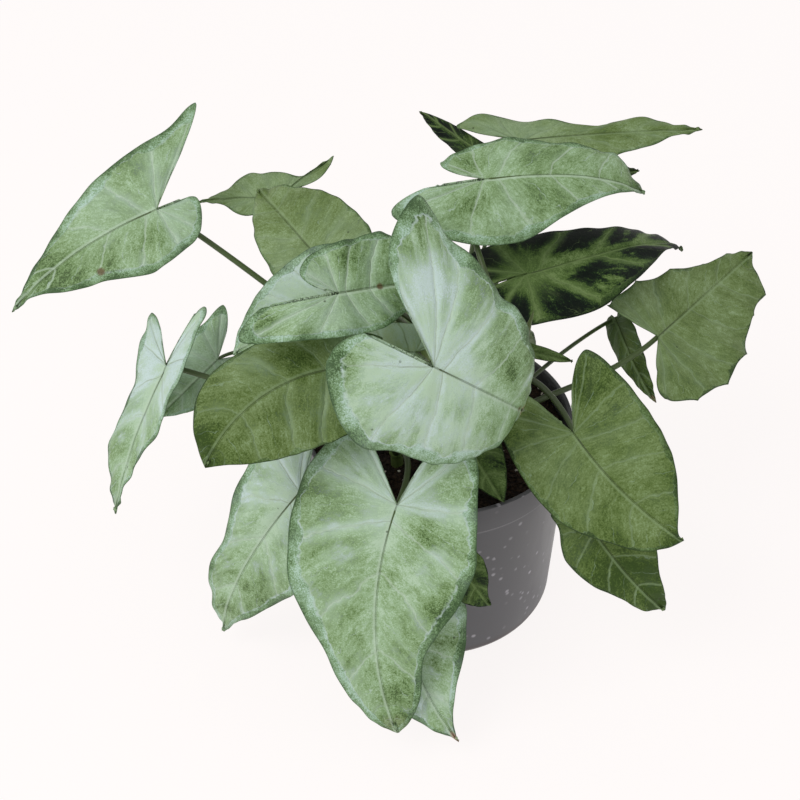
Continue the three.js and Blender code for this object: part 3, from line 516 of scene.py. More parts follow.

# ---------------------------------------------------------------- the leaves
# Thin arrow-shaped blades, each on a round stalk that clasps its shoot. The blade is puffed up
# between sunken veins and frosted white round them, and a speckled green band runs round its margin.

# shoot and joint: the shoot that the leaf grows from, and the height there. stalk: how far it rises
# and reaches, and the angle at which it arrives. at: where stalk and blade meet. turned: heading,
# pitch and roll of the midrib there, and length its length. A half is its widest half width, its
# lobe behind and beside the stalk, the lobe's belly and flank, and how full the outline is.
# bend: droop, bow and hang of the lobes. cup: fold and curl. wave: height, number and phase.
# looks: how white round the veins, how blotched between them, how dry at the tip, and how dark, which on
# the low leaves is partly painted shade.
# scars and stains: dry spots and darker clouds on the flattened blade, to the right of the midrib and
# ahead of the stalk, and their radius; a stain with a radius below 0 is a whiter cloud.
# teeth: their number round each half, and their depth as a share of the half's width. A small leaf is
# a young one with a slim stalk.
PLAIN = (1, 1, 1, 1, 1)
LEAVES = {
    "leaf_01": dict(
        finish="mint", shoot="front", joint=125, stalk=(30, 34, 60),
        at=(-5, -75, 204), turned=(9, -37, 60), length=81,
        left=(46, 33, 66, 20, 0, (1, 0.95, 0.93, 0.94, 0.98)),
        right=(42, 43, 17, 13, 9, (1.1, 1.1, 1.03, 1, 0.98)),
        bend=(60, 0, 10), cup=(10, 40), wave=(1, 2.2, 40), looks=(0.95, 0.8, 0.8, -0.06),
        scars=((0, 67, 2),),
        stains=((-16, 36, 9), (-55, -28, 7), (15, -36, 6), (-30, -17, -9), (-30, 42, 8))),
    "leaf_02": dict(
        finish="mint", shoot="left", joint=107, stalk=(34, 30, 50),
        at=(-20, -77, 126), turned=(-126, -56, -20), length=116,
        left=(42, 37, 21, 8, -2, (1.6, 1.05, 0.78, 0.97, 1)),
        right=(46, 28, 29, 2, 0, (1.2, 0.9, 0.78, 0.97, 1)),
        bend=(18, 37, 10), cup=(10, 20), wave=(1.5, 2.6, 0), looks=(0.8, 0.8, 0.1, 0),
        stains=((-33, 47, 8), (-4, 90, 8), (-4, 34, 9), (-14, 10, 8))),
    "leaf_03": dict(
        finish="mint", shoot="left", joint=117, stalk=(26, 30, 40),
        at=(-64, -61, 118), turned=(-175, -55, -54), length=120,
        left=(22, 32, 9, 3, 0, (0.98, 0.9, 1.27, 1.39, 0.98)),
        right=(28, 28, 16, 3, 6, (0.5, 0.91, 0.87, 0.72, 0.95)),
        bend=(30, 15, 10), cup=(5, 15), wave=(1.5, 2.6, 90), looks=(1.05, 0.8, 0, 0.04),
        stains=((-5, 70, 8), (0, 96, 7))),
    "leaf_04": dict(
        finish="olive", shoot="left", joint=131, stalk=(24, 24, 60),
        at=(-44, -57, 188), turned=(191, 2, -41), length=74,
        left=(36, 23, 24, 3, -6, (1.33, 1.26, 1.09, 0.92, 0.86)),
        right=(26, 20, 12, 1, -6, (1.35, 1.33, 1.25, 0.9, 0.79)),
        bend=(14, 61, 10), cup=(8, 20), wave=(1, 2.4, 0), looks=(0.45, 0.7, 0, 0.06),
        stains=((8, 66, 8), (6, 15, 8))),
    "leaf_05": dict(
        finish="mint", shoot="middle", joint=153, stalk=(40, 40, 130),
        at=(-44, -48, 221), turned=(16, 0, 41), length=43,
        left=(23, 14, 12, 3, 0, (2.2, 1.9, 1.45, 1.15, 0.95)), right=(19, 44, 12, 9, 0, PLAIN),
        bend=(30, 0, 15), cup=(10, 20), wave=(1.6, 2.2, 0), looks=(0.3, 0.7, 0, 0.08),
        scars=((0, 18, 2),), stains=((0, -32, 6), (-14, 7, 6))),
    "leaf_06": dict(
        finish="olive", shoot="middle", joint=143, stalk=(24, 24, 60),
        at=(-54, 5, 198), turned=(121, 4, -25), length=75,
        left=(21, 14, 14, 3, 0, PLAIN), right=(28, 16, 18, 3, 0, PLAIN),
        bend=(20, 0, 10), cup=(5, 10), wave=(1, 2.2, 0), looks=(0.3, 0.4, 0, -0.06)),
    "leaf_07": dict(
        finish="olive", shoot="rear", joint=131, small=True, stalk=(24, 30, 50),
        at=(-79, 87, 178), turned=(170, -4, -20), length=47,
        left=(12, 14, 8, 3, 0, (0.3, 0.3, 0.5, 1, 1)), right=(16, 22, 29, 6, -8, (0.3, 0.3, 0.5, 1, 1)),
        bend=(20, 0, 10), cup=(10, 10), wave=(1.2, 1.8, 0), looks=(0.3, 0.6, 0, -0.05)),
    "leaf_08": dict(
        finish="mint", shoot="middle", joint=109, stalk=(10, 20, 60),
        at=(-134, 50, 196), turned=(-161, -14, -32), length=86,
        left=(24, 16, 17, 13, 1, (0.4, 0.35, 0.9, 1, 1.2)),
        right=(38, 37, 45, 2, -6, (0.4, 0.35, 0.45, 0.6, 0.8)),
        bend=(20, 21, 5), cup=(5, 10), wave=(1.6, 2.5, 0), looks=(0.35, 0.6, 0, 0.1),
        scars=((-15, 38, 3),), stains=((-6, 58, 11), (-16, 33, 8), (38, -18, 7), (-13, 9, 7))),
    "leaf_09": dict(
        finish="mint", shoot="left", joint=111, stalk=(10, 14, 80),
        at=(-129, -2, 143), turned=(-128, -44, 17), length=77,
        left=(17, 33, 5, 9, 0, (0.3, 0.3, 0.7, 1, 1)),
        right=(18, 18, 29, 4, 0, (1.3, 1.4, 1.5, 0.9, 1)),
        bend=(20, 0, 10), cup=(15, 10), wave=(1, 2, 0), looks=(1.1, 0.6, 0, -0.07)),
    "leaf_10": dict(
        finish="mint", shoot="middle", joint=127, small=True, stalk=(24, 30, 50),
        at=(-107, 14, 133), turned=(-139, -24, -41), length=40,
        left=(14, 12, 12, 2, 0, PLAIN), right=(17, 21, 17, 3, 0, PLAIN),
        bend=(20, 0, 10), cup=(5, 10), wave=(1, 2, 0), looks=(0.35, 0.5, 0, 0.06)),
    "leaf_11": dict(
        finish="mint", shoot="middle", joint=161, small=True, stalk=(14, 14, 60),
        at=(-47, -13, 196), turned=(-159, -25, -49), length=57,
        left=(14, 12, 10, 2, 0, PLAIN), right=(22, 12, 16, 2, 0, PLAIN),
        bend=(25, 0, 10), cup=(5, 10), wave=(1, 2, 0), looks=(0.9, 0.3, 0, 0)),
    "leaf_12": dict(
        finish="mint", shoot="right", joint=141, stalk=(30, 34, 60),
        at=(21, 59, 207), turned=(7, 4, 32), length=96,
        left=(29, 19, 14, 3, -3, (1.4, 1.75, 0.95, 0.85, 0.85)),
        right=(28, 46, 10, 6, 6, (0.32, 0.32, 0.52, 0.83, 1.15)),
        bend=(57, -4, 10), cup=(-10, 15), wave=(1.2, 2.2, 0), looks=(0.15, 0.5, 0, 0.05),
        stains=((-3, 88, 6), (-10, -5, 7), (9, -8, 9))),
    "leaf_13": dict(
        finish="olive", shoot="rear", joint=123, stalk=(30, 40, 60),
        at=(42, 127, 187), turned=(13, -2, 21), length=106,
        left=(13, 29, 19, 5, 1, (1.15, 1.2, 1.05, 0.5, 1)),
        right=(16, 20, 14, 3, 0, (0.8, 0.6, 1, 1.15, 1)),
        bend=(9, 1, 10), cup=(5, 10), wave=(2.2, 2.6, 200), looks=(0.4, 0.4, 0, -0.06)),
    "leaf_14": dict(
        finish="dark", shoot="rear", joint=137, small=True, stalk=(20, 30, 50),
        at=(22, 130, 177), turned=(136, 9, -58), length=46,
        left=(7, 8, 6, 1, 0, PLAIN), right=(6, 8, 6, 1, 0, PLAIN),
        bend=(10, 0, 10), cup=(5, 10), wave=(0.5, 2, 0), looks=(0.1, 0.8, 0, 0.3)),
    "leaf_15": dict(
        finish="dark", shoot="right", joint=129, stalk=(22, 20, 50),
        at=(43, 46, 161), turned=(18, 5, 10), length=122,
        left=(28, 34, 16, 9, 1, (1.2, 0.91, 0.75, 0.77, 0.85)),
        right=(27, 25, 18, 10, 6, (0.44, 0.32, 0.5, 0.93, 1.2)),
        bend=(57, 31, 10), cup=(5, 10), wave=(1, 2.6, 0), looks=(0.35, 1.5, 0, 0)),
    "leaf_16": dict(
        finish="olive", shoot="right", joint=107, stalk=(20, 40, 30),
        at=(110, 37, 129), turned=(53, -5, 30), length=107,
        left=(29, 11, 29, 2, 0, (1, 0.8, 0.67, 0.85, 1)),
        right=(42, 29, 25, 3, 0, (0.9, 1.4, 0.92, 1, 1)),
        bend=(0, 0, 0), cup=(5, 5), wave=(1, 3, 0), looks=(0.2, 0.3, 0, 0.04), teeth=(9, 0.07)),
    "leaf_17": dict(
        finish="olive", shoot="right", joint=117, small=True, stalk=(20, 30, 50),
        at=(92, 56, 123), turned=(-75, -20, 57), length=48,
        left=(9, 6, 5, 1, 0, PLAIN), right=(9, 6, 3, 1, 0, PLAIN),
        bend=(20, 0, 10), cup=(10, 10), wave=(0.5, 2, 0), looks=(0.2, 0.4, 0.6, 0.38)),
    "leaf_18": dict(
        finish="olive", shoot="right", joint=135, stalk=(24, 26, 50),
        at=(59, -49, 143), turned=(-51, -30, 42), length=68,
        left=(36, 28, 26, 4, -2, (0.3, 0.87, 1.02, 0.95, 0.93)),
        right=(32, 38, 31, 11, -4, (1.6, 1.21, 1.04, 1.03, 1.01)),
        bend=(7, 22, 10), cup=(5, 10), wave=(1, 2.2, 0), looks=(0.12, 0.5, 0, 0.17),
        stains=((-20, -18, 14), (0, 64, 6))),
    "leaf_19": dict(
        finish="olive", shoot="right", joint=112, stalk=(24, 34, 0),
        at=(69, -64, 99), turned=(-43, -41, 42), length=58,
        left=(22, 14, 12, 2, 0, (1.15, 0.89, 0.85, 1.04, 1)),
        right=(18, 14, 13, 2, -3, (0.85, 1.14, 0.85, 1.01, 1.09)),
        bend=(30, 13, 10), cup=(5, 10), wave=(1, 2, 0), looks=(0.1, 0.4, 0, 0.38),
        stains=((8, 26, 12),)),
    "leaf_20": dict(
        finish="mint", shoot="front", joint=110, stalk=(30, 44, -25),
        at=(-22, -86, 73), turned=(-70, -49, 14), length=76,
        left=(29, 14, 12, 2, -1, (0.3, 0.46, 0.79, 1.06, 1.1)),
        right=(15, 14, 12, 2, 0, (0.86, 1.31, 1.46, 0.96, 1)),
        bend=(11, 23, 10), cup=(5, 10), wave=(1, 2, 0), looks=(1.3, 0.6, 1, -0.04),
        stains=((-14, 29, 10),)),
    "leaf_21": dict(
        finish="dark", shoot="front", joint=120, small=True, stalk=(20, 22, 40),
        at=(4, -82, 103), turned=(-44, -43, 30), length=34,
        left=(11, 8, 8, 1, 0, (0.6, 0.5, 0.9, 1, 0.8)), right=(14, 8, 8, 1, 0, (1.5, 1.3, 1.1, 1, 1)),
        bend=(23, 8, 10), cup=(5, 10), wave=(0.5, 2, 0), looks=(0.2, 0.5, 0, 0)),
    "leaf_22": dict(
        finish="dark", shoot="middle", joint=106, small=True, stalk=(12, 12, 40),
        at=(9, -27, 125), turned=(-63, -12, 23), length=42,
        left=(15, 10, 9, 1, 0, PLAIN), right=(12, 10, 9, 1, 0, PLAIN),
        bend=(20, 0, 10), cup=(5, 10), wave=(0.5, 2, 0), looks=(0.3, 0.5, 0, 0)),
    "leaf_23": dict(
        finish="dark", shoot="right", joint=123, small=True, stalk=(8, 8, 60),
        at=(45, 21, 133), turned=(-13, -8, 50), length=22,
        left=(3.5, 3, 3, 0.5, 0, PLAIN), right=(3.5, 3, 3, 0.5, 0, PLAIN),
        bend=(20, 0, 10), cup=(5, 10), wave=(0, 1, 0), looks=(0.1, 0.5, 0, 0)),
    "leaf_24": dict(
        finish="olive", shoot="middle", joint=123, small=True, stalk=(20, 20, 60),
        at=(-12, -38, 181), turned=(161, -6, -29), length=45,
        left=(16, 12, 10, 2, 0, PLAIN), right=(14, 10, 8, 2, 0, PLAIN),
        bend=(20, 0, 10), cup=(5, 10), wave=(0.5, 2, 0), looks=(1.2, 0.4, 0, -0.5)),
    "leaf_25": dict(
        finish="dark", shoot="rear", joint=115, small=True, stalk=(20, 30, 50),
        at=(70, 139, 155), turned=(12, 6, 20), length=44,
        left=(10, 8, 7, 1, 0, PLAIN), right=(10, 8, 7, 1, 0, PLAIN),
        bend=(20, 0, 10), cup=(5, 10), wave=(0.5, 2, 0), looks=(0.2, 0.6, 0, 0.1)),
    "leaf_26": dict(
        finish="olive", shoot="middle", joint=119, stalk=(20, 20, 50),
        at=(-25, 45, 130), turned=(116, -14, -5), length=76,
        left=(28, 20, 18, 3, 0, PLAIN), right=(28, 20, 18, 3, 0, PLAIN),
        bend=(30, 0, 10), cup=(8, 15), wave=(1, 2.4, 60), looks=(0.3, 0.5, 0, 0.1)),
    "leaf_27": dict(
        finish="olive", shoot="rear", joint=107, stalk=(18, 20, 50),
        at=(26, 53, 113), turned=(88, -16, 6), length=74,
        left=(27, 13, 17, 3, 0, PLAIN), right=(27, 13, 17, 3, 0, PLAIN),
        bend=(30, 0, 10), cup=(8, 15), wave=(1, 2.4, 10), looks=(0.2, 0.6, 0, 0.25)),
}
# The outline of half a blade ahead of the stalk, as shares of its half width and length, and where
# the vein to each of those points leaves the midrib.
OUTLINE = [(0, 1), (0.14, 0.94), (0.38, 0.83), (0.67, 0.64), (0.9, 0.4), (1, 0.15)]
VEIN_FEET = [1, 0.9, 0.7, 0.43, 0.17, 0.02]
VEIN_SWEEP, FOLD_FADE, SPREAD = 0.16, 0.5, 38
FLANK_AT, FLANK_SWELL, NOTCH_AT = 0.42, 0.05, 0.6
DROOP_EASE, WAVE_EASE, WAVE_OFFSET = 1.4, 1.6, 120
LOBE_STEPS, MIDRIB_STEPS = 40, 156
# Rows of a blade follow its veins: 0 is its tip, 5 its widest place, 7 the lobe's end and 9 the notch.
LOBE_ROW, NOTCH_ROW, VEIN_EVERY = 7, 9, 1.15
ROW_STEPS, SMALL_ROW_STEPS = 126, 90
# Places along a row, from the midrib to the margin.
SHARES = np.array([0, 0.012, 0.03, 0.055, 0.09, 0.13, 0.18, 0.24, 0.31, 0.38, 0.46, 0.54, 0.62,
                   0.69, 0.76, 0.82, 0.87, 0.91, 0.94, 0.97, 0.988, 1])
BLADE, SKIN, SKIN_AT_MARGIN, MARGIN_FROM = 0.7, 0.42, 0.22, 0.85
PUFF, PUFF_WIDE, PUFF_EASE, PUFF_LEVEL = 0.9, 9, 0.8, 0.55
MIDRIB_SINK, MIDRIB_WIDE = 0.5, 1.5
# The margin is crimped and a little uneven, in long waves and in finer ones. The rates are radians a row.
CRIMP, CRIMP_FINE, CRIMP_RATE, CRIMP_FINE_RATE = 0.6, 0.6, 4.7, 9.1
CRIMP_LENGTH, RIGHT_CRIMP = 90, 2.4
UNEVEN, UNEVEN_FINE, UNEVEN_RATE, UNEVEN_FINE_RATE = 0.008, 0.004, 3.1, 8.3
TOOTH_EASE = 0.7
# A fine round stalk is STALK_TRIM thinner than the corners of the few-sided solid that it replaces.
SHEATH_RADIUS, SHEATH_REACH, STALK_RADIUS, NECK_RADIUS, STALK_TRIM = 2.5, 0.3, 1.8, 1.4, 0.1
STALK_STEPS, STALK_SIDES, SLIM, NECK_SUNK = 32, 10, 0.7, 0.6
MIDRIB_FROM, MIDRIB_TO, MIDRIB_THIN, MIDRIB_POINTS = 0.03, 0.8, 0.25, 26
RIB_EASE, RIB_TRIM, NECK_SWELL, RIB_BELOW = 1.4, 0.9, 1.1, 0.1
# The blade's maps hold rows and millimetres divided by these, to keep them near 0 to 1.
MAP_ROWS, MAP_MM = 10, 100


def through(points, t):
    """The curve through all the points, at t from 0 to the last one's number."""
    points = np.asarray(points, float)
    i = np.minimum(t.astype(int), len(points) - 2)
    f = (t - i)[..., None]
    around = np.vstack([2 * points[0] - points[1], points, 2 * points[-1] - points[-2]])
    a, b, c, d = (around[i + k] for k in range(4))
    return 0.5 * (2 * b + (c - a) * f + (2 * a - 5 * b + 4 * c - d) * f ** 2
                  + (3 * b - a - 3 * c + d) * f ** 3)


def fade(value, none_at, full_at):
    """0 at none_at to 1 at full_at, and held at both; full_at may be the lower."""
    return np.clip((value - none_at) / (full_at - none_at), 0, 1)


def flat_blade(leaf, half, row, share):
    """Where points of the flattened half blade lie, beside and ahead of the stalk."""
    width, back, out, belly, flank, full = half
    long, reach = leaf["length"], math.hypot(back, out)
    outline = [(x * width * f, y * long) for (x, y), f in zip(OUTLINE, (1,) + tuple(full))]
    outline += [
        (width + (out - width) * FLANK_AT + FLANK_SWELL * width + flank, -FLANK_AT * back),
        (out, -back),
        (NOTCH_AT * out - belly * back / reach, -NOTCH_AT * back - belly * out / reach),
        (0, 0),
    ]
    edge = through(outline, row)
    feet = [(v, 0) for v in VEIN_FEET] + [(0, 0)] * (len(outline) - len(VEIN_FEET))
    foot = long * through(feet, row)[..., 0] * (row < len(VEIN_FEET))
    sweep = VEIN_SWEEP * long * fade(row, LOBE_ROW, 0) * (edge[..., 0] > 0)
    y = foot + (edge[..., 1] - foot) * share - sweep * share * (1 - share)
    return edge[..., 0] * share, y


def spine(leaf, y):
    """Places on the bent midrib, and the directions to its side and upward there."""
    long, lobe = leaf["length"], max(leaf["left"][1], leaf["right"][1])
    droop, bow, back = leaf["bend"]

    def directions(y):
        u, v = np.maximum(0, y / long), np.maximum(0, -y / lobe)
        a, b = np.radians(back * v - droop * u ** DROOP_EASE), np.radians(bow * u)
        side = np.stack([np.cos(b), np.sin(b), 0 * b], -1)
        along = np.stack([-np.sin(b) * np.cos(a), np.cos(b) * np.cos(a), np.sin(a)], -1)
        return side, along, np.cross(side, along)

    behind, ahead = np.linspace(-lobe, 0, LOBE_STEPS, endpoint=False), np.linspace(0, long, MIDRIB_STEPS)
    stations = np.concatenate([behind, ahead])
    along = directions(stations)[1]
    steps = (along[1:] + along[:-1]) / 2 * np.diff(stations)[:, None]
    places = np.vstack([np.zeros(3), np.cumsum(steps, 0)])
    places -= places[LOBE_STEPS]
    place = np.stack([np.interp(y, stations, places[:, k]) for k in range(3)], -1)
    side, _, up = directions(y)
    return place, side, up


def bent_blade(leaf, half, sign, x, y):
    """Lifts flat points into the leaf's own space: folded, curled over, waved and drooping."""
    place, side, up = spine(leaf, y)
    (fold, curl), (wave, waves, phase) = leaf["cup"], leaf["wave"]
    angle = np.radians(fold * (1 - FOLD_FADE * fade(y, 0, leaf["length"])))
    bend = -math.radians(curl) / half[0]
    end = angle + bend * x
    out, rise = (np.sin(end) - np.sin(angle)) / bend, (np.cos(angle) - np.cos(end)) / bend
    turn = 2 * math.pi * waves * y / leaf["length"] + math.radians(phase + (0 if sign < 0 else WAVE_OFFSET))
    ripple = wave * (np.abs(x) / half[0]) ** WAVE_EASE * np.sin(turn)
    return (place + side * (sign * (out - ripple * np.sin(end)))[..., None]
            + up * (rise + ripple * np.cos(end))[..., None])


def placing(leaf):
    heading, pitch, roll = (math.radians(v) for v in leaf["turned"])
    return (Matrix.Translation(leaf["at"]) @ Matrix.Rotation(heading - math.pi / 2, 4, "Z")
            @ Matrix.Rotation(pitch, 4, "X") @ Matrix.Rotation(roll, 4, "Y"))


def placed(leaf, points):
    move = np.array(placing(leaf))
    return points @ move[:3, :3].T + move[:3, 3]


def blade_sheet(leaf):
    """The left and then the right half of the blade's middle sheet, as a grid of rows and shares.
    Gives each grid point's row, share, bent place, flat place and span, which is the distance
    from one row to the next there, and the triangles between the points."""
    rows = np.linspace(0, NOTCH_ROW, (SMALL_ROW_STEPS if leaf.get("small") else ROW_STEPS) + 1)
    row, share = np.meshgrid(rows, SHARES, indexing="ij")
    teeth, depth = leaf.get("teeth", (0, 0))
    wobble = 1 - UNEVEN * (1 + np.sin(UNEVEN_RATE * row + leaf["length"]))
    wobble -= UNEVEN_FINE * (1 + np.sin(UNEVEN_FINE_RATE * row + 2))
    wobble -= depth * np.abs(np.sin(math.pi * teeth * row / NOTCH_ROW)) ** TOOTH_EASE * share ** 3
    spots, flats, spans = [], [], []
    for sign, half in ((-1, leaf["left"]), (1, leaf["right"])):
        x, y = flat_blade(leaf, half, row, share)
        x = np.maximum(x * wobble, 0)
        spots.append(bent_blade(leaf, half, sign, x, y).reshape(-1, 3))
        flats.append(np.stack([sign * x, y], -1).reshape(-1, 2))
        down = np.gradient(np.stack([x, y], -1), axis=0) / (rows[1] - rows[0])
        out = np.gradient(np.stack([x, y], -1), SHARES, axis=1)
        out /= np.hypot(out[..., 0], out[..., 1])[..., None] + 1e-6
        spans.append(np.abs(down[..., 0] * out[..., 1] - down[..., 1] * out[..., 0]).ravel())
    index = np.arange(row.size).reshape(row.shape)
    a, b, c, d = index[:-1, :-1], index[1:, :-1], index[1:, 1:], index[:-1, 1:]
    half_sheet = np.concatenate([np.stack([a, b, c], -1), np.stack([a, c, d], -1)]).reshape(-1, 3)
    triangles = np.concatenate([half_sheet[:, ::-1], half_sheet + row.size])
    spots, flats, spans = np.concatenate(spots), np.concatenate(flats), np.concatenate(spans)
    return np.tile(row.ravel(), 2), np.tile(share.ravel(), 2), spots, flats, spans, triangles


def blade_relief(leaf, row, share, flats, spans):
    """How far the skin stands above the middle sheet: puffed between the veins, sunk along the
    midrib and crimped at the margin."""
    between = 1 - np.abs(2 * ((row / VEIN_EVERY) % 1) - 1)
    body = fade(share, 0, 0.2) * fade(share, 0.97, 0.72)
    puff = PUFF * np.clip(spans / PUFF_WIDE, 0.1, 1) * (between ** PUFF_EASE - PUFF_LEVEL) * body
    sink = MIDRIB_SINK * np.exp(-(flats[:, 0] / MIDRIB_WIDE) ** 2) * fade(flats[:, 1], 0, 4)
    side = np.repeat((0, RIGHT_CRIMP), len(row) // 2) + leaf["length"]
    crimp = 1 + np.sin(CRIMP_RATE * row + side)
    crimp += CRIMP_FINE * (1 + np.sin(CRIMP_FINE_RATE * row + 2 * side))
    crimp *= CRIMP * min(1, leaf["length"] / CRIMP_LENGTH) * share ** 4
    crimp *= fade(row, 0, 1.2) * fade(row, 8, 6.6)
    return puff - crimp - sink * (share < 0.5)


def blade(name, leaf):
    """The blade as a closed thin skin, with its vein map, its flat map and its habit in the mesh."""
    row, share, spots, flats, spans, triangles = blade_sheet(leaf)
    relief = blade_relief(leaf, row, share, flats, spans)

    # Grid points that meet, along the midrib and at the tip and notch, become one.
    microns = np.round(spots * 1000).astype(int)
    _, first, one = np.unique(microns, axis=0, return_index=True, return_inverse=True)
    met = one.ravel()[triangles]
    whole = (met[:, 0] != met[:, 1]) & (met[:, 1] != met[:, 2]) & (met[:, 2] != met[:, 0])
    triangles, met = triangles[whole], met[whole]
    middle, relief = spots[first], relief[first]
    normals = np.zeros_like(middle)
    facing = np.cross(middle[met[:, 1]] - middle[met[:, 0]], middle[met[:, 2]] - middle[met[:, 0]])
    for k in range(3):
        np.add.at(normals, met[:, k], facing)
    normals /= np.linalg.norm(normals, axis=1)[:, None]
    thin = SKIN + (SKIN_AT_MARGIN - SKIN) * fade(share[first], MARGIN_FROM, 1)
    top = middle + normals * (relief - BLADE / 2 + thin / 2)[:, None]
    under = middle + normals * (relief - BLADE / 2 - thin / 2)[:, None]

    # A narrow wall closes the gap between the two skins wherever a triangle has no neighbour.
    count = len(middle)
    edges = {}
    for tri, grid in zip(met.tolist(), triangles.tolist()):
        for k in range(3):
            edges[(tri[k], tri[(k + 1) % 3])] = (grid[k], grid[(k + 1) % 3])
    rim = [(p, q, g) for (p, q), g in edges.items() if (q, p) not in edges]
    wall = [(p, p + count, q + count) for p, q, _ in rim] + [(p, q + count, q) for p, q, _ in rim]
    wall_grid = [(g[0], g[0], g[1]) for _, _, g in rim] + [(g[0], g[1], g[1]) for _, _, g in rim]
    corners = np.concatenate([met, met[:, ::-1] + count, np.array(wall)])
    grid = np.concatenate([triangles, triangles[:, ::-1], np.array(wall_grid)]).ravel()
    below = np.concatenate([np.zeros(met.size), np.ones(met.size), np.full(3 * len(wall), 0.5)])

    piece = new_piece(name, placed(leaf, np.concatenate([top, under])), corners.tolist())
    for label, values in (("veins", np.stack([row / MAP_ROWS, share], -1)), ("flat", flats / MAP_MM)):
        layer = piece.data.uv_layers.new(name=label)
        layer.uv.foreach_set("vector", values[grid].astype(np.float32).ravel())
    for label, values in (("span", spans[grid]), ("under", below)):
        layer = piece.data.attributes.new(label, "FLOAT", "CORNER")
        layer.data.foreach_set("value", values.astype(np.float32))
    habit = piece.data.attributes.new("habit", "FLOAT_COLOR", "POINT")
    habit.data.foreach_set("color", np.tile(leaf["looks"], 2 * count).astype(np.float32))
    for kind in ("scars", "stains"):
        amount = np.zeros(count)
        for x, y, radius in leaf.get(kind, ()):
            away = (flats[first, 0] - x) ** 2 + (flats[first, 1] - y) ** 2
            amount += np.sign(radius) * np.exp(-away / radius ** 2)
        layer = piece.data.attributes.new(kind, "FLOAT", "POINT")
        layer.data.foreach_set("value", np.tile(amount, 2).astype(np.float32))
    return piece


def stalk(name, leaf, finish):
    """The round stalk, from its clasping foot up to the blade and on below it as the midrib."""
    rise, reach, arrive = leaf["stalk"]
    start = shoot_point(SHOOTS[leaf["shoot"]], leaf["joint"])
    place, _, up = spine(leaf, np.array([0.0]))
    neck = placed(leaf, place - up * (BLADE + NECK_SUNK * NECK_RADIUS))[0]
    arrive, spread = math.radians(arrive), math.radians(SPREAD)
    arrival = np.array(placing(leaf))[:3, :3] @ (0, math.cos(arrive), math.sin(arrive))
    outward = (neck - start) * (1, 1, 0)
    outward /= np.linalg.norm(outward)
    leaving = outward * math.sin(spread) + (0, 0, math.cos(spread))
    slim = SLIM if leaf.get("small") else 1
    a, b = start + leaving * rise, neck - arrival * reach
    points, girths = [], []
    for u in np.linspace(0, 1, STALK_STEPS):
        v = 1 - u
        points.append(v ** 3 * start + 3 * u * v ** 2 * a + 3 * u * u * v * b + u ** 3 * neck)
        sheath = (SHEATH_RADIUS - STALK_RADIUS) * max(0, 1 - u / SHEATH_REACH) ** 1.5
        girths.append(slim * (STALK_RADIUS + (NECK_RADIUS - STALK_RADIUS) * u + sheath) - STALK_TRIM)
    for u in np.linspace(MIDRIB_FROM, MIDRIB_TO, MIDRIB_POINTS):
        taper = MIDRIB_THIN + (1 - MIDRIB_THIN) * (1 - u / MIDRIB_TO) ** RIB_EASE
        r = slim * taper * (RIB_TRIM if u > 2 * MIDRIB_FROM else NECK_SWELL)
        place, _, up = spine(leaf, np.array([u * leaf["length"]]))
        points.append(placed(leaf, place - up * (BLADE / 2 + MIDRIB_SINK + RIB_BELOW + 0.5 * r))[0])
        girths.append(r)
    return stem(name, points, girths, STALK_SIDES, finish)


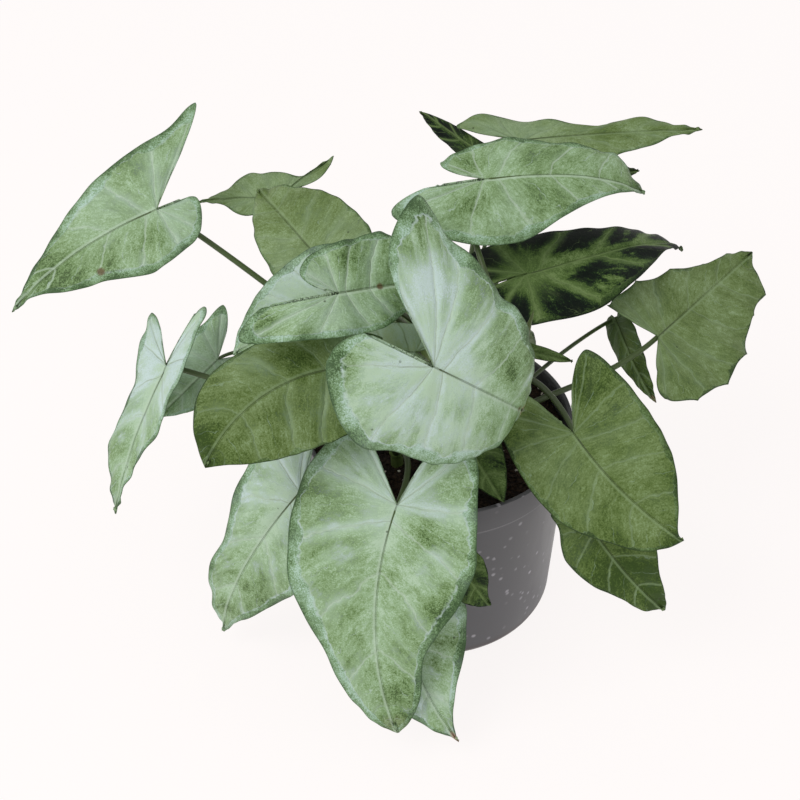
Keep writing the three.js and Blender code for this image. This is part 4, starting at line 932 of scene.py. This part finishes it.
def blade_finish(name, shades, frost, fringe, margin, line, back, loops_at, patchy, gloss):
    """Leaf skin. shades run from the whitest to the darkest, and margin from the vein loops to the
    edge. frost is the bloom round the veins, fringe their pale border, line the painted shadow in the
    sunken veins and the midrib near the neck, and back the underside, its own plainer colour darkened
    by painted shade. loops_at is where the loops run, from 0 at the midrib to 1 at the edge, patchy
    how much darker the patches between veins are, and gloss the strength of the sheen."""
    finish, place = new_finish(name)

    # What the mesh carries: the row and share of the way along it, millimetres beside and ahead of
    # the stalk, the distance between rows, the leaf's habit, whose darkness is partly painted shade, and
    # its stains and scars.
    veins = place.make("ShaderNodeUVMap", {"uv_map": "veins"})
    flat = place.make("ShaderNodeUVMap", {"uv_map": "flat"})
    span, under = place.attribute("span"), place.attribute("under")
    scar, stain = place.attribute("scars"), place.attribute("stains")
    # dark: how dark the leaf is, partly painted shade on the low leaves.
    habit, dark = place.attribute("habit", 0), place.attribute("habit", 3)
    white, blotch, dry = (habit.split(k) for k in range(3))
    row, share = veins.split(0) * MAP_ROWS, veins.split(1)
    right, forward = flat.split(0) * MAP_MM, flat.split(1) * MAP_MM
    across = abs(right)
    from_neck = flat.make("ShaderNodeVectorMath", {"operation": "LENGTH"}, {0: flat}, 1) * MAP_MM
    tip, before_tip, before_notch = row.between(2.1, 0.4), row.between(0.9, 2.0), row.between(8.1, 7.3)

    # Clouds and grains that lie anyhow, and streaks that run along the veins.
    grain = place.noise(1500, 3, 0.7)
    cloud = place.noise(30, 3)
    drift = place.noise(75, 4, 0.65)
    sway = place.noise(200, 2)
    along_vein = place.make("ShaderNodeCombineXYZ", None, {
        0: row * 1.6, 1: share * 1.1, 2: place.split(0) * 9})
    feather = along_vein.noise(2.4, 4, 0.65)
    strand = along_vein.noise(9, 3, 0.65)

    # The veins, the finer ones halfway between them, and the loops that join them near the margin.
    turns = (row + 0.6 * (cloud - 0.5) + 0.12 * (sway - 0.5)) / VEIN_EVERY
    between = 1 - abs(turns.math("FRACT") * 2 - 1)
    halfway = 1 - abs((turns * 2 + 0.5 * (sway - 0.5)).math("FRACT") * 2 - 1)
    off_vein = between * span * (VEIN_EVERY / 2)
    off_veinlet = halfway * span * (VEIN_EVERY / 4)
    reach = 0.05 * between.math("POWER", 0.7) + 0.3 * (cloud - 0.5) + 0.16 * (sway - 0.5)
    loops = (reach + loops_at).math("MINIMUM", 0.985)
    outside = (share - loops) / (1 - loops)
    inside = outside.between(0.06, -0.06)

    # The ground colour: pale near the neck, the midrib and the veins, with darker patches between.
    near_neck = from_neck.between(55, 2)
    near_rib = across.between(9, 0.4)
    near_vein = off_vein.between(3.6, 0.3) * feather.between(0.35, 0.65)
    near_vein = near_vein * (0.3 + 0.7 * from_neck.between(75, 10))
    pale = (near_neck * 0.3 + near_rib * 0.14 + near_vein * 0.25) * white
    patch = between.between(0.05, 0.6) * share.between(0.08, 0.4) * from_neck.between(6, 24)
    patch = patch * (feather * 0.5 + cloud * 0.5 + blotch * 0.12).between(0.5, 0.66)
    patch = patch * blotch.math("MINIMUM", 1.0)
    stain = stain * (0.35 + feather + (grain - 0.5) * 2)
    rough = (grain - 0.5) * (1.1 + 0.7 * patch) + (cloud - 0.5) * 0.6 + (drift - 0.5) * 1.1
    depth = 0.4 - pale + patch * patchy + rough + (strand - 0.5) * 0.9
    depth = depth + (feather - 0.5) * 0.4 + dark + 0.35 * tip + 0.35 * stain
    bloom = near_neck * 0.4 + near_vein * 0.45 + share.between(0.1, 0.55) * 0.25 + white * 0.16
    bloom = bloom + (drift - 0.5) * 1.6 + (strand - 0.5) * 0.8 + (grain - 0.5) * 0.8 - patch * 0.3 - stain
    colour = (bloom.between(0.3, 1.1) * white * (0.4 + grain)).blend(depth.ramp(shades), frost)

    # The green band outside the loops, its specks and its edge, and the frost along the loops.
    edge = 0.36 + 0.45 * outside + (grain - 0.5) * 2.2 + (cloud - 0.5) * 2.0 + (drift - 0.5) * 2.2
    edge = edge + dark + 0.5 * stain + 0.25 * tip
    colour = ((1 - inside) * (0.6 + 0.4 * drift)).blend(colour, edge.ramp(margin))
    speck = place.noise(2100, 1).between(0.6, 0.72) * drift.between(0.35, 0.6) * before_notch
    speck = speck * (0.25 + 0.6 * share.between(0.7, 1.0))
    colour = speck.blend(colour, margin[-1])
    halo = abs(outside + 0.04).between(0.16, 0.02) * (0.25 + 0.5 * white) * sway.between(0.35, 0.6)
    colour = (halo * before_tip * (0.35 + feather)).blend(colour, frost)
    rim = share.between(0.975, 0.995)
    colour = (rim * (0.15 + 0.45 * before_notch)).blend(colour, margin[-1])

    # The veins with their pale fringe, painted shadow in the sunken veins and midrib, a painted highlight
    # beside the midrib, and the green where the lobes part.
    thread = off_vein.between(0.34, 0.12) * inside
    veinlet = off_veinlet.between(0.25, 0.08) * inside * share.between(0.1, 0.3) * sway.between(0.4, 0.6)
    colour = (veinlet * 0.35).blend(colour, frost)
    beside_vein = off_vein.between(0.7, 0.2) * inside * (0.2 + 0.6 * feather) * before_tip
    colour = beside_vein.blend(colour, fringe)
    # Painted shadow: a dark line in the sunken veins near the neck.
    colour = (thread * from_neck.between(26, 4) * white * 0.28).blend(colour, line)
    rib = across.between(0.42, 0.16) * forward.between(-1, 1)
    # A pale streak just right of the midrib: a painted highlight on the lit side of its groove.
    rib_highlight = abs(right - 0.9).between(0.9, 0.2) * forward.between(-1, 1)
    colour = (rib_highlight * 0.5).blend(colour, fringe)
    # Painted shadow: a dark line in the midrib's groove.
    colour = (rib * (0.1 + 0.4 * from_neck.between(70, 10))).blend(colour, line)
    notch = row.between(8.4, 8.95) * from_neck.between(18, 4)
    colour = (notch * 0.8).blend(colour, paint(96, 116, 60))

    # Small dark flecks, rusty scars, a dry tip, and the plain underside, darkened by painted shade.
    fleck = place.make("ShaderNodeTexVoronoi", None, {"Vector": place, "Scale": 95.0})
    mark = fleck.between(0.08, 0.03) * place.noise(33, 1).between(0.54, 0.6)
    colour = (mark * 0.8).blend(colour, paint(48, 54, 30))
    rust = (scar + (drift - 0.5) * 0.9).between(0.35, 0.75)
    colour = (rust * 0.85).blend(colour, paint(96, 74, 46))
    colour = (row.between(0.95, 0.55) * dry).blend(colour, paint(158, 132, 110))
    # The underside: its own plainer colour, darkened as painted shade.
    below = under.between(0.4, 0.9)
    colour = (below * 0.75).blend(colour, back)

    # Veins and loops are sunk in the upper side and stand out of the lower one.
    loop_line = abs(outside).between(0.03, 0.005)
    sunk = thread * 0.15 + rib * 0.3 + off_vein.between(1.8, 0.2) * inside * 0.25
    sunk = sunk + veinlet * 0.1 + loop_line * 0.1
    relief = grain * 0.1 + drift * 0.3 + place.noise(420, 2) * 0.12 - (1 - 2 * below) * sunk
    join(finish, Base_Color=colour, Roughness=0.46 + 0.12 * grain + 0.2 * below, Normal=relief.bumped(),
         Specular_IOR_Level=gloss)
    return finish


finishes = {
    "mint": blade_finish(
        "mint_blade",
        shades=[paint(174, 199, 172), paint(150, 179, 141), paint(128, 156, 110), paint(98, 127, 74),
                paint(58, 83, 38)],
        margin=[paint(178, 206, 196), paint(140, 172, 142), paint(102, 134, 90), paint(52, 80, 46)],
        frost=paint(193, 213, 211), fringe=paint(186, 207, 184), line=paint(88, 100, 76),
        back=paint(140, 166, 128), loops_at=0.84, patchy=0.2, gloss=0.3),
    "olive": blade_finish(
        "olive_blade",
        shades=[paint(138, 160, 120), paint(116, 138, 90), paint(98, 119, 66), paint(78, 100, 42),
                paint(50, 72, 22)],
        margin=[paint(112, 138, 98), paint(88, 114, 68), paint(66, 90, 44), paint(38, 58, 26)],
        frost=paint(146, 170, 146), fringe=paint(130, 152, 110), line=paint(66, 80, 48),
        back=paint(114, 136, 90), loops_at=0.93, patchy=0.2, gloss=0.2),
    "dark": blade_finish(
        "dark_blade",
        shades=[paint(112, 134, 84), paint(88, 111, 60), paint(64, 86, 40), paint(24, 42, 22),
                paint(8, 18, 12)],
        margin=[paint(62, 84, 42), paint(36, 55, 24), paint(20, 35, 17), paint(10, 20, 12)],
        frost=paint(112, 134, 84), fringe=paint(116, 138, 86), line=paint(84, 104, 60),
        back=paint(70, 92, 50), loops_at=0.93, patchy=0.75, gloss=0.1),
}
stalk_skin = stem_finish("stalk_skin", paint(48, 61, 28), paint(68, 87, 41), paint(46, 59, 28))

for name, leaf in LEAVES.items():
    grown_blade = blade("arrow_" + name, leaf)
    grown_blade.data.materials.append(finishes[leaf["finish"]])
    fused([grown_blade, stalk("stalk_" + name, leaf, stalk_skin)])
    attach(grown_blade, "root")
    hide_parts(name)

# ---------------------------------------------------------------- the studio
# A seamless pale floor that glows a little, a broad soft lamp high on the left, a weaker one on the
# right, and white walls all round.

FLOOR_HALF, FLOOR_GLOW, WALL_GLOW = 4000, 0.905, 0.62
LAMPS_LOOK_AT = Vector((0, 0, 0.12))

paper, place = new_finish("studio_floor")
tone = place.noise(3, 2).blend(paint(90, 88, 88), paint(92, 90, 89))
join(paper, Base_Color=tone, Roughness=0.9, Specular_IOR_Level=0.1,
     Emission_Color=paint(255, 251, 250), Emission_Strength=FLOOR_GLOW)
corners = [(-FLOOR_HALF, -FLOOR_HALF, 0), (FLOOR_HALF, -FLOOR_HALF, 0),
           (FLOOR_HALF, FLOOR_HALF, 0), (-FLOOR_HALF, FLOOR_HALF, 0)]
floor = new_piece("floor", corners, [(0, 1, 2, 3)])
floor.data.materials.append(paper)

for name, watts, size, place, tint in (
        ("key", 14.0, 1.0, (-0.9, -0.7, 1.5), (1.0, 0.99, 0.97)),
        ("fill", 2.5, 1.4, (1.3, -0.5, 1.0), (0.95, 0.98, 1.0))):
    lamp = shown(name, bpy.data.lights.new(name, "AREA"))
    lamp.data.energy, lamp.data.size, lamp.data.color = watts, size, tint
    lamp.location = place
    lamp.rotation_euler = (LAMPS_LOOK_AT - lamp.location).to_track_quat("-Z", "Y").to_euler()

world = bpy.data.worlds.new("studio")
world.use_nodes = True
walls = world.node_tree.nodes["Background"]
walls.inputs["Color"].default_value = (1.0, 0.98, 0.975, 1)
walls.inputs["Strength"].default_value = WALL_GLOW
bpy.context.scene.world = world
bpy.context.scene.view_settings.view_transform = "Standard"

bpy.context.view_layer.update()
